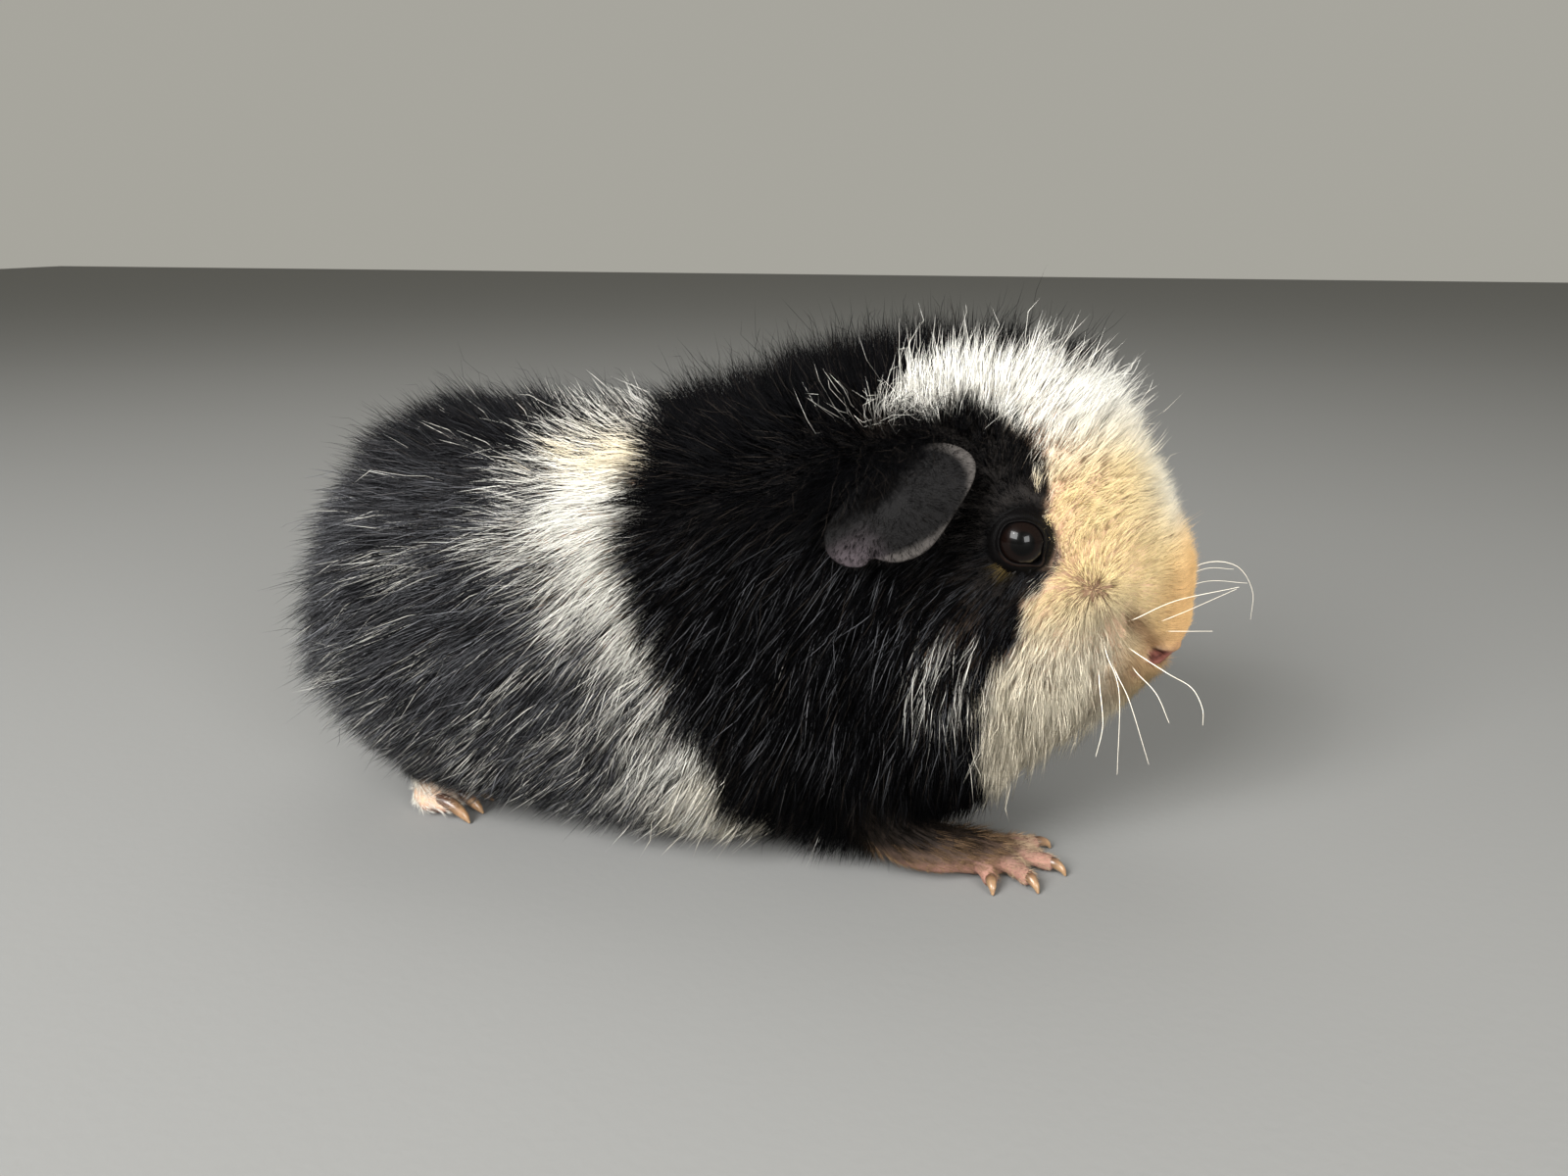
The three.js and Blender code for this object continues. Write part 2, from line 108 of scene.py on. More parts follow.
def rays(u, v):
    """Where the outline is looked for: u goes from tail to nose along a line inside the body,
    with a quarter turn at each end; v goes round from the spine toward the left side."""
    swing = np.interp(u, [0, CAP_REAR, 1 - CAP_FRONT, 1], np.radians([0, 90, 90, 180]))
    t = np.clip((u - CAP_REAR) / (1 - CAP_REAR - CAP_FRONT), 0, 1)
    x, z = CORE_REAR + (CORE_FRONT - CORE_REAR) * t, CORE_HEIGHT + CORE_RISE * ease(t, 0, 1)
    start = np.stack([x, 0 * t, z], -1)
    way = np.stack([-np.cos(swing), np.sin(swing) * np.sin(v), np.sin(swing) * np.cos(v)], -1)
    return start, way


# ---- The lie of the coat ------------------------------------------------------------------
# A short plush coat, 12 to 18 mm on the body and a few millimetres on the face. It stands up
# along the back and crest, falls on the flanks, and opens from a whorl on each cheek.

# place, way that the hair points (y is outward), hair length, depth over the skin, reach: all mm
COAT = [
    ([-122, 0, 62], [-0.8, 0, -0.6], 13, 9, 22),            # rear end
    ([-112, 20, 85], [-0.95, 0.2, 0.15], 13, 10.5, 20),
    ([-85, 0, 103], [-0.9, 0, 0.6], 12.5, 10.5, 20),             # rump
    ([-105, 38, 52], [-0.75, 0.45, -0.5], 15, 8, 20),
    ([-102, 25, 18], [-0.75, 0.2, -0.6], 11, 5.5, 16),
    ([-80, 32, 14], [-0.8, 0.15, -0.5], 8.5, 5, 12),
    ([-45, 0, 103], [-0.75, 0, 0.8], 12.5, 10.5, 20),            # loin
    ([-55, 36, 92], [-0.8, 0.45, 0.1], 14, 9, 18),
    ([-62, 49, 65], [-0.85, 0.32, -0.4], 16, 9, 20),
    ([-55, 49, 38], [-0.65, 0.3, -0.7], 15, 8, 18),
    ([-40, 42, 14], [-0.6, 0.2, -0.65], 11, 6, 16),
    ([-20, 0, 4], [-0.9, 0, -0.25], 9, 3, 40),              # belly
    ([-28, 35, 95], [-0.7, 0.5, 0.0], 14, 9, 16),           # white band
    ([-22, 50, 75], [-0.6, 0.4, -0.6], 16, 9, 18),
    ([-15, 51, 50], [-0.5, 0.3, -0.8], 16, 9, 18),
    ([-8, 47, 25], [-0.35, 0.3, -0.9], 14, 7, 16),
    ([5, 0, 112], [-0.3, 0, 1], 12.5, 11.5, 18),                # shoulders
    ([0, 30, 103], [-0.45, 0.6, 0.45], 14, 10, 16),
    ([5, 46, 82], [-0.4, 0.5, -0.55], 15, 10, 18),
    ([10, 50, 58], [-0.35, 0.35, -0.85], 16, 9, 18),
    ([18, 44, 32], [-0.25, 0.3, -0.9], 14, 8, 16),
    ([38, 0, 121], [0.0, 0, 1], 13, 12, 16),                # crest
    ([36, 24, 112], [0.1, 0.55, 0.7], 12, 9.8, 12),
    ([34, 33, 102], [-0.15, 0.75, -0.65], 12, 8, 8),
    ([24, 38, 96], [-0.3, 0.75, -0.25], 13, 8, 12),
    ([46, 30, 100], [0.1, 0.85, 0.1], 10, 6, 10),            # over the ear
    ([60, 0, 118], [0.4, 0, 0.9], 12, 11, 12),               # forehead
    ([75, 0, 107], [0.6, 0, 0.8], 9, 7.6, 11),
    ([66, 20, 106], [0.35, 0.5, 0.75], 8.5, 6.6, 10),
    ([70, 24, 94], [0.45, 0.5, 0.7], 7, 3.5, 9),
    ([86, 0, 90], [0.7, 0, 0.7], 6, 4.6, 10),                 # bridge
    ([82, 16, 84], [0.6, 0.4, 0.6], 6, 3, 9),
    ([93, 0, 76], [0.55, 0, 0.75], 5, 3, 8),
    ([97, 0, 63], [0.2, 0, 0.95], 2.4, 1.8, 8),             # end of the nose
    ([91, 12, 66], [0.9, 0.1, 0.25], 3.6, 2, 8),
    ([96, 4, 54], [0.5, 0.2, 0.6], 1.5, 1.2, 5),
    ([90, 11, 55], [0.8, 0.1, -0.3], 2.2, 1.4, 6),
    ([60.4, 30, 80], [-0.3, 0.6, 0.3], 3, 1.2, 7),          # around the eye
    ([60, 27, 91], [-0.3, 0.5, 0.6], 6, 3, 7),
    ([62, 30, 68], [-0.5, 0.45, -0.65], 6, 2.5, 8),
    ([48, 35, 80], [-0.85, 0.4, -0.2], 8, 4.5, 10),         # between eye and ear
    ([60, 33, 54], [-0.2, 0.4, -0.9], 11, 5, 11),           # jowl
    ([60, 31, 36], [-0.05, 0.3, -0.95], 13, 6, 12),
    ([75, 21, 52], [0.1, 0.4, -0.9], 8, 3, 9),
    ([86, 10, 44], [-0.1, 0.25, -0.9], 3, 1.8, 6),          # chin
    ([86, 3, 39], [-0.35, 0.1, -0.8], 3.4, 2, 7),
    ([71, 0, 31], [-0.5, 0, -0.85], 11, 5, 12),             # throat
    ([54, 15, 18], [-0.4, 0.2, -0.9], 11, 6, 12),           # chest
    ([34, 42, 68], [-0.35, 0.4, -0.85], 15, 8, 14),         # side of the neck
    ([36, 40, 38], [-0.2, 0.35, -0.9], 14, 7, 14),
    ([34, 32, 16], [0.1, 0.35, -0.95], 9, 5, 12),           # upper arm
]
WHORL = np.array([78.2, 20.4, 66.8])      # hair opens from here on each cheek
WHORL_REACH = 13.0
WHORL_RISE = np.array([0, 4.5, 0])        # its hair also stands up off the cheek
SEARCH_TURNS = 44                         # steps toward the skin along each ray
DEPTH_TURNS = (30, 36, 40)                # the ones before which the coat's depth is looked up again
SEARCH_MOST, SEARCH_SHARE = 8, 0.8        # the longest step, and the share of the gap that a step takes


def unit(vectors):
    """Vectors divided by their own lengths."""
    return vectors / np.maximum(np.linalg.norm(vectors, axis=-1, keepdims=True), 1e-9)


def mirrored(p):
    """Points turned over to the left side."""
    return np.concatenate([p[..., :1], np.abs(p[..., 1:2]), p[..., 2:]], -1)


def coat_at(p):
    """Way, length and depth of the coat at points: the mean of the stations, each counted by
    exp(-(distance / reach) squared). Around the whorl the way turns to point from it."""
    place, way, length, depth, reach = (np.array(c, float) for c in zip(*COAT))
    q = mirrored(p)
    squares = (q ** 2).sum(-1)[..., None] + (place ** 2).sum(-1) - 2 * q @ place.T
    power = -squares / reach ** 2
    weight = np.exp(power - power.max(-1, keepdims=True))
    weight /= weight.sum(-1, keepdims=True)
    lie = unit(weight @ unit(way))
    away = q - WHORL
    near = np.exp(-((np.linalg.norm(away, axis=-1) / WHORL_REACH) ** 4))[..., None]
    lie = unit(lie * (1 - 0.75 * near) + unit(away + WHORL_RISE) * near)
    lie[..., 1] *= np.tanh(p[..., 1] / 7)
    return unit(lie), weight @ length, weight @ depth


def outline(u, v):
    """Points of the skin: along each ray, out to where the coat's outline lies as far away as
    the coat is deep, and then eased up off the floor."""
    start, way = rays(u, v)
    reach = np.full(u.shape, 3.0)
    depth = 0.0
    for turn in range(SEARCH_TURNS):
        p = start + way * reach[..., None]
        if turn in DEPTH_TURNS:
            depth = coat_at(p)[2]
        gap = -body_distance(p) - depth
        reach = reach + np.clip(gap, -SEARCH_MOST, SEARCH_MOST) * SEARCH_SHARE
    p = start + way * reach[..., None]
    lowest = BELLY_CLEAR + BELLY_COAT
    lift = p[..., 2] - lowest
    p[..., 2] = lowest + 0.5 * (lift + np.sqrt(lift ** 2 + BELLY_SOFT ** 2))
    return p


# the skin's grid: stops along the sweep, and how many rows lie from each to the next
ROW_STOPS, ROW_COUNTS = [0, CAP_REAR, 0.54, 1 - CAP_FRONT, 1], [26, 40, 24, 92]
AROUND = 240
ROWS = np.concatenate([np.linspace(low, high, count, endpoint=False)
                       for low, high, count in zip(ROW_STOPS, ROW_STOPS[1:], ROW_COUNTS)])[1:]
skin_u, skin_v = np.meshgrid(ROWS, np.arange(AROUND) * 2 * np.pi / AROUND, indexing="ij")
FORM = outline(skin_u, skin_v)


def grid_normals(grid):
    """Outward normals of a grid that closes around: its slope along crossed with its slope
    round."""
    along = np.gradient(grid, axis=0)
    around = np.roll(grid, -1, 1) - np.roll(grid, 1, 1)
    return unit(np.cross(along, around))


NORMALS = grid_normals(FORM)


# ---- Markings -----------------------------------------------------------------------------
# Black with a white band behind the shoulders, a grey roan rump, and a white blaze that turns
# to cream and buff on the face. Skin and hair both take their colour from here.

# the edge lines, each as a few heights and the place along the body where colour changes there
FACE_EDGE = ([0, 15, 31, 41, 52, 60, 67, 73, 87, 96, 104],
             [50, 56, 54, 55, 57.5, 62, 63, 67.5, 67.5, 63.5, 61])
FACE_TOP = 104                            # above it the blaze's own edges part white from black
BAND_FRONT = ([8, 33, 49, 65, 77, 85, 101], [3, -8.5, -15.5, -22.5, -26.5, -26, -24])
BAND_REAR = ([10, 30, 44, 54, 64, 75, 83, 91, 101], [-9, -11, -15, -26, -36, -43, -44, -41, -38])
# places along the head, the blaze's lower edge there, and how far over the crown it reaches
BLAZE_LOW = ([22, 29, 36, 44, 56, 63, 67, 76, 90], [107, 106, 106.5, 109.5, 108, 102.5, 98, 94, 80])
BLAZE_FAR = ([18, 28, 32, 36, 42, 50, 60, 68, 74, 80, 86], [-33, -29, -25, -18, -10, -6, -5, -5, -1, 8, 34])
FAR_SHIFT = 5                             # how far the far side's band lies behind the near side's
# roan patches on the rump and lower flank: place and reach
ROAN = [([-76, 43, 75], 9), ([-58, 45, 74], 9), ([-92, 40, 63], 9), ([-80, 47, 57], 8),
        ([-91, 44, 51], 8), ([-71, 49, 44], 9), ([-98, 38, 40], 8), ([-48, 50, 40], 12),
        ([-30, 50, 26], 12), ([-62, 48, 28], 12)]
# spots: place and reach along each axis
JOWL = ([47, 0, 48], [8, np.inf, 11])     # white ticking in the black behind the cheek
CROWN = ([30, 0, 106], [6, np.inf, 4])    # a few white hairs over the near ear
SPINE_LOW, SPINE_HIGH = 94, 102           # the band thins out between these heights


def mottle(p, size, seed):
    """Smooth random field of about unit spread: the sum of plane waves with random ways and
    phases, whose lengths lie around size."""
    rng = np.random.default_rng(seed)
    waves = unit(rng.normal(size=(18, 3))) * (2 * np.pi / (size * rng.uniform(0.8, 2.2, (18, 1))))
    return np.sin(p @ waves.T + rng.uniform(0, 2 * np.pi, 18)).sum(-1) / 3


def spot(p, place, reach):
    """exp(-(distance / reach) squared) at points, with one reach or one for each axis."""
    return np.exp(-(((p - place) / np.array(reach)) ** 2).sum(-1))


def markings(p):
    """Shares of white hair, of grey among the dark hair, of cream and of buff at points: each is
    an eased step of the distance past an edge line, and the edges wander by a smooth noise."""
    x, y, z = p[..., 0], p[..., 1], p[..., 2]
    wander = mottle(p, 9, 11) * 1.3 + mottle(p, 3.5, 12) * 0.7

    # the head: ahead of the face's edge, or within the blaze
    face = np.minimum(x - np.interp(z, *FACE_EDGE), FACE_TOP - z)
    blaze = np.minimum(z - np.interp(x, *BLAZE_LOW), np.interp(x, *BLAZE_FAR) - y)
    head = ease(np.maximum(face, blaze) + 0.8 * wander, -1.8, 1.8)

    # the band: sharp in front, drawn out behind, and gone along the spine
    x = x + FAR_SHIFT * (y > 0) * ease(x, 20, 0)
    front = np.interp(z, *BAND_FRONT) - x
    rear = x - np.interp(z, *BAND_REAR)
    spine = 1 - ease(z, SPINE_LOW, SPINE_HIGH)
    band = ease(front + wander, -1.5, 1.5) * ease(rear + 2.5 * wander, -9, 5) * spine

    # the roan behind it: more beside the band, in streaks within the patches, and low down
    behind = ease(front, -1, 3)
    patches = sum(spot(mirrored(p), place, reach) for place, reach in ROAN)
    near_band = ease(rear, -22, -2) * (0.25 + 0.2 * spine)
    streak = ease(mottle(p * [0.45, 1, 0.8], 5, 14), 0.0, 1.8)
    roan = behind * (0.05 + near_band + 0.5 * np.minimum(patches, 1.2) * streak + 0.12 * ease(z, 45, 25))

    # white hairs among the black: few, more in streaks on the jowl and over the near ear
    jowl = spot(p, *JOWL) * (np.abs(y) > 15)
    flecks = (0.004 + 0.012 * ease(z, 75, 45)) * (1 - behind)
    flecks = flecks + jowl * (0.14 + 0.5 * ease(mottle(p * [1, 1, 0.4], 5, 15), -0.9, 1.4))
    flecks = flecks + 0.13 * spot(p, *CROWN) * (y < 0)
    white = np.clip(np.maximum(np.maximum(head, band), roan + flecks), 0, 1)
    grey = behind * (0.15 + 0.85 * ease(98 - z, 0, 24))

    # cream below the blaze, less on the low cheek and the middle of the face, and a tint in the
    # band; buff on the end of the nose
    low_cheek = ease(72 - z, 0, 22) * ease(92 - x, 0, 12)
    cream = head * ease(109 - z + 0.3 * (x - 72), 0, 20) * (1 - 0.6 * low_cheek)
    cream = cream * (1 - 0.7 * np.exp(-((y / 9) ** 2)) * ease(z, 72, 84))
    cream = np.maximum(cream, 0.55 * band * ease(z, 85, 94) + 0.25 * band * ease(30 - z, 0, 12))
    buff = 0.85 * ease(x - 0.25 * np.abs(z - 60), 86, 96) * head
    return white, grey, cream, buff


# ---- Skin ---------------------------------------------------------------------------------
# One hide over the whole animal, deep under the coat and bare only at the nose, lids, ears and
# feet. The trunk and head, the lids, ears and limbs are closed shells that are joined into one.

def new_mesh(name, points, corners, sizes):
    """An object in the frame from points in body millimetres and faces: corners is every face's
    point numbers in a row, and sizes how many each face takes."""
    mesh = bpy.data.meshes.new(name)
    points = to_frame(points)
    mesh.vertices.add(len(points))
    mesh.vertices.foreach_set("co", points.astype(np.float32).ravel())
    mesh.loops.add(len(corners))
    mesh.loops.foreach_set("vertex_index", np.asarray(corners, np.int32))
    mesh.polygons.add(len(sizes))
    sizes = np.asarray(sizes, np.int32)
    starts = np.concatenate([[0], np.cumsum(sizes)[:-1]])
    mesh.polygons.foreach_set("loop_start", starts.astype(np.int32))
    mesh.polygons.foreach_set("use_smooth", np.full(len(sizes), True))
    mesh.update(calc_edges=True)
    piece = bpy.data.objects.new(name, mesh)
    bpy.context.scene.collection.objects.link(piece)
    return piece


def ring_faces(rings, around):
    """Faces of rings with a point before the first and one after the last: fans at both ends, and
    quads between one ring and the next. The rings go anticlockwise as seen from the last end."""
    k = np.arange(around)
    after = (k + 1) % around
    start = np.stack([np.zeros(around, int), 1 + after, 1 + k], -1)
    base = 1 + np.arange(rings - 1)[:, None] * around
    quads = np.stack([base + k, base + after, base + around + after, base + around + k], -1)
    last = 1 + (rings - 1) * around
    end = np.stack([last + k, last + after, np.full(around, last + around)], -1)
    corners = np.concatenate([start.ravel(), quads.ravel(), end.ravel()])
    sizes = np.concatenate([np.full(around, 3), np.full((rings - 1) * around, 4), np.full(around, 3)])
    return corners, sizes


def shell(name, rings, first=None, last=None):
    """A closed piece from rings of points, (rings, around, 3), with its end points, or the middle
    of each end ring where none is given."""
    first = rings[0].mean(0) if first is None else first
    last = rings[-1].mean(0) if last is None else last
    points = np.concatenate([[first], rings.reshape(-1, 3), [last]])
    return new_mesh(name, points, *ring_faces(len(rings), rings.shape[1]))


def smooth_path(stations, steps):
    """A Catmull-Rom curve through the stations, at so many evenly spaced places of its count:
    (2b + (c - a) t + (2a - 5b + 4c - d) t t + (3b - a - 3c + d) t t t) / 2 from b to c."""
    stations = np.array(stations, float)
    before, beyond = 2 * stations[0] - stations[1], 2 * stations[-1] - stations[-2]
    ends = np.concatenate([[before], stations, [beyond]])
    place = np.linspace(0, len(stations) - 1, steps)
    low = np.minimum(place.astype(int), len(stations) - 2)
    t = (place - low)[:, None]
    a, b, c, d = ends[low], ends[low + 1], ends[low + 2], ends[low + 3]
    square, cube = 2 * a - 5 * b + 4 * c - d, 3 * b - a - 3 * c + d
    return 0.5 * (2 * b + (c - a) * t + square * t ** 2 + cube * t ** 3)


def tube(name, stations, around=20, steps=16, dome=5):
    """A round limb along the stations (x, y, z, radius): a ring square to the path at each step,
    and a quarter-round dome of rings over each end."""
    path = smooth_path(stations, steps)
    way = unit(np.gradient(path[:, :3], axis=0))
    turn = np.linspace(0, np.pi / 2, dome + 1)[1:]
    radius = path[:, 3]
    before = path[0, :3] - way[0] * radius[0] * np.sin(turn[::-1])[:, None]
    beyond = path[-1, :3] + way[-1] * radius[-1] * np.sin(turn)[:, None]
    centres = np.concatenate([before, path[:, :3], beyond])
    ways = np.concatenate([np.repeat(way[:1], dome, 0), way, np.repeat(way[-1:], dome, 0)])
    rounds = np.concatenate([radius[0] * np.cos(turn[::-1]), radius, radius[-1] * np.cos(turn)])
    up = unit(np.cross(ways, [0, 1, 0]))
    side = np.cross(up, ways)
    angle = np.arange(around) * 2 * np.pi / around
    rings = centres[:, None] + rounds[:, None, None] * (
        side[:, None] * np.cos(angle)[:, None] + up[:, None] * np.sin(angle)[:, None])
    return shell(name, rings[1:-1], centres[0], centres[-1])


def near_line(p, line):
    """Distance of points from a broken line, and how far along it the nearest place is, 0 to 1."""
    line = np.array(line, float)
    best = np.full(p.shape[:-1], 1e9)
    share = np.zeros(p.shape[:-1])
    for k, (a, b) in enumerate(zip(line[:-1], line[1:])):
        t = np.clip(((p - a) @ (b - a)) / ((b - a) @ (b - a)), 0, 1)
        gap = np.linalg.norm(p - a - t[..., None] * (b - a), axis=-1)
        share = np.where(gap < best, (k + t) / (len(line) - 1), share)
        best = np.minimum(gap, best)
    return best, share


# the creases of the face: line on one side, half width, depth (less than 0 stands proud)
NOSTRIL = [[92.8, 6.9, 49.8], [91.2, 9.0, 51.0], [90.0, 10.3, 52.2]]
PHILTRUM = [[97.4, 0, 49], [95.8, 0, 46.2], [93.4, 0, 43.4]]
MOUTH = [[93.4, 0, 43.2], [91.8, 4.8, 44.2], [89.4, 8.4, 45.8], [86.6, 11.4, 47.8]]
CHEEK_CREASE = [[86.2, 14.1, 60.3], [88.1, 12.7, 57.1], [90.0, 11.0, 54.4]]
LEATHER = [[95.8, 0, 48.2], [93.8, 4.6, 48.6], [92.2, 7.4, 49.7]]         # middle of the bare nose
CREASES = [
    (NOSTRIL, 1.0, 2.6),
    (PHILTRUM, 0.7, 1.2),
    (MOUTH, 0.8, 1.8),
    ([[96.6, 2.6, 51.4], [94.2, 6.6, 52.6], [91.6, 9.6, 54]], 1.4, -0.9),     # wing of the nostril
    ([[95.6, 3.4, 46.4], [92, 8.4, 47.4]], 1.6, 0.9),                         # under the nose leather
    ([[93.2, 3.4, 45.2], [89.8, 8.8, 47.2], [87.4, 11.6, 49.6]], 1.0, -0.6),  # upper lip
    (CHEEK_CREASE, 1.5, 1.1),
    ([[72, 24, 74], [66.6, 27, 75]], 2.2, 0.9),                               # below the tear duct
    ([[70, 24, 84], [62, 26, 90], [54, 28.5, 87]], 3.5, -1.0),                # brow
]
HEAD_FROM = 45                            # the creases lie ahead of here


def head_details(points, normals):
    """The skin with its creases and pads: each pushes the surface in along its normal by depth
    times exp(-(distance / half width) squared)."""
    head = points[..., 0] > HEAD_FROM
    q = mirrored(points[head])
    push = np.zeros(len(q))
    for line, half, depth in CREASES:
        push -= depth * np.exp(-((near_line(q, line)[0] / half) ** 2))
    out = points.copy()
    out[head] += normals[head] * push[:, None]
    return out


tail_end, nose_end = (outline(np.full(1, u), np.zeros(1))[0] for u in (0.0, 1.0))
skin = shell("skin", head_details(FORM, NORMALS)[:, ::-1], tail_end, nose_end)


# ---- Lids ---------------------------------------------------------------------------------
# A ring of thick bare skin hugs each eyeball: a rounded margin, a fold behind it, and a drawn-out
# corner toward the nose where the tear duct is.

EYE_AXIS = unit(np.array([0.2, 1.0, 0.08]))
EYE_FRONT = unit(np.array([1.0, 0, 0]) - EYE_AXIS[0] * EYE_AXIS)
EYE_UP = np.cross(EYE_FRONT, EYE_AXIS)
LID_OPENING = 4.6                         # half width of the part of the eyeball that shows
TEAR_CORNER = np.radians(-47)
LID_AROUND, LID_STEPS = 72, 28
LID_GAP = 0.1                             # between the lid's margin and the eyeball

# steps of the lid's section: out from the margin, up from it, in mm
LID_SECTION = [(-0.5, -0.7), (0, 0), (0.08, 0.16), (0.3, 0.16), (0.5, -0.1), (0.8, -0.5), (1.3, -0.8),
               (2.2, -1.8), (3.6, -3.6), (3.0, -5.5), (0.4, -4.6)]


def other_side(rings, turned):
    """Rings, turned over to the animal's other side where turned is true, and then in the
    opposite order round, so that their faces still point outwards."""
    return (rings * [1, -1, 1])[:, ::-1] if turned else rings


def round_mesh(name, rings):
    """A closed ring-shaped piece from rings (rings, around, 3) that also close on themselves."""
    count, around = rings.shape[:2]
    i, k = np.meshgrid(np.arange(count), np.arange(around), indexing="ij")
    number = i * around + k
    quads = np.stack([number, np.roll(number, -1, 1), np.roll(np.roll(number, -1, 1), -1, 0),
                      np.roll(number, -1, 0)], -1)
    return new_mesh(name, rings.reshape(-1, 3), quads.ravel(), np.full(count * around, 4))


def corner_gap(angle, at):
    """Angle between two ways round the eye, wrapped to half a turn."""
    return np.abs((angle - at + np.pi) % (2 * np.pi) - np.pi)


def lid_opening(angle):
    """Half width of the opening between the lids at angles round the eye. It is drawn out at the
    two corners by exp(-(angle / width) squared)."""
    drawn = 0.34 * np.exp(-((corner_gap(angle, TEAR_CORNER) / 0.3) ** 2))
    drawn += 0.07 * np.exp(-((corner_gap(angle, TEAR_CORNER + np.pi) / 0.4) ** 2))
    return LID_OPENING * (1 + drawn - 0.04 * np.sin(angle) ** 2)


def lid(side):
    """The lid's section carried round the eye axis, with its margin on the eyeball."""
    angle = np.arange(LID_AROUND) * 2 * np.pi / LID_AROUND
    opening = lid_opening(angle)
    height = np.sqrt(np.maximum((EYE_RADIUS + LID_GAP) ** 2 - opening ** 2, 9.0))
    section = np.array(LID_SECTION + LID_SECTION[:1])
    section = smooth_path(np.concatenate([section, 0 * section], 1), LID_STEPS + 1)[:-1, :2]
    out = opening + section[:, :1]
    up = height + section[:, 1:] * (1 + 0.25 * (np.sin(angle) > 0) * np.sin(angle))
    rings = EYE + up[..., None] * EYE_AXIS + out[..., None] * (
        np.cos(angle)[:, None] * EYE_FRONT + np.sin(angle)[:, None] * EYE_UP)
    return round_mesh("lid", other_side(rings, side < 0))


# ---- Ears ---------------------------------------------------------------------------------
# Thin leathery petals that hang from the top of the head, cupped, with a notch in the lower rim
# and a small lobe behind it. Each grows from a stub that stays hidden in the coat.

EAR = np.array([36.2, -39.6, 89.1])       # middle of the right ear
EAR_LONG, EAR_SHORT = 17.0, 10.3          # half length and half width
EAR_THICK, EAR_RIM = 0.75, 0.28           # half thickness in the middle and at the rim
EAR_CUP, EAR_NOTCH = 2.4, 1.7             # how far the petal is cupped, and its notch cut in
EAR_AROUND, EAR_STEPS = 76, 17
EAR_ALONG = unit(np.array([0.81, 0.2, 0.55]))
EAR_ACROSS = unit(np.array([0.52, -0.42, -0.74]))
EAR_INWARD = np.cross(EAR_ALONG, EAR_ACROSS)
EAR_STUB = [[33.5, -35.2, 94, 1.6], [36, -31, 92.5, 3.6], [40, -22, 90, 7]]


def ear_point(share, angle, lift):
    """A point of the right ear: share of the way from the middle to the rim, angle round it. The
    petal is an ellipse, fuller below and drawn in above and behind, with a pointed end and a
    notch, cupped by the square of share."""
    notch = np.exp(-((corner_gap(angle, np.radians(120)) / 0.13) ** 2)) * EAR_NOTCH
    tip = 1 + 0.1 * np.maximum(0, np.cos(angle - np.radians(12))) ** 6
    full = 0.14 * np.exp(-((corner_gap(angle, np.radians(88)) / np.radians(20)) ** 2))
    drawn = 0.25 * np.exp(-((corner_gap(angle, np.radians(248)) / np.radians(50)) ** 2))
    wide = share * (1 + full - drawn)
    along = EAR_LONG * wide * np.cos(angle) * tip
    across = EAR_SHORT * wide * np.sin(angle) - notch * share ** 3
    cup = EAR_CUP * (share ** 2 * (0.6 + 0.4 * np.sin(angle)) - 0.4)
    fold = np.exp(-(((angle - 2.55) / 0.16) ** 2))
    ripple = 0.35 * share ** 3 * np.sin(5 * angle + 0.6) + 0.3 * share * fold
    return (EAR + along[..., None] * EAR_ALONG + across[..., None] * EAR_ACROSS
            + (cup + ripple + lift)[..., None] * EAR_INWARD)


def ear(side):
    """The petal's inner face from the middle to the rim, then its outer face back again."""
    share = np.concatenate([np.linspace(0.06, 0.95, EAR_STEPS), [0.985, 1.0]])
    thick = EAR_RIM + (EAR_THICK - EAR_RIM) * (1 - share ** 2)
    thick[-1] *= 0.45
    share = np.concatenate([share, share[::-1]])
    thick = np.concatenate([-thick, thick[::-1]])
    angle = np.arange(EAR_AROUND) * 2 * np.pi / EAR_AROUND
    s, a = np.meshgrid(share, angle, indexing="ij")
    rings = ear_point(s, a, np.broadcast_to(thick[:, None], s.shape))
    return shell("ear", other_side(rings, side > 0))


# ---- Legs and feet ------------------------------------------------------------------------
# Short bare-soled legs that leave the coat just above the floor: four toes in front and three
# behind. The left feet are at another point of the stride than the right ones.

FORE_STEP = {1: -23.0, -1: 0.0}           # how far along the stride each side's foot is
HIND_STEP = {1: 9.0, -1: 0.0}
FOREARM = [[30, -29, 22, 7.5], [36, -29.5, 12, 6.4], [45, -28, 7, 5.4], [52.5, -24.8, 5.8, 4.9]]
SHIN = [[-72, -30, 22, 9], [-77.5, -28, 18, 8], [-80.4, -25.6, 12, 5.6], [-80.9, -24.4, 8, 5.0]]
PALMS = [[[52, -24.4, 5.2, 5.0], [58.6, -22.4, 4.0, 4.6]],
         [[57, -19.4, 3.6, 3.8], [57, -25.6, 3.6, 3.8]]]
SOLES = [[[-82.4, -24.4, 4.2, 4.6], [-81, -24.2, 4.1, 4.9], [-79.6, -24, 4, 4.9]]]
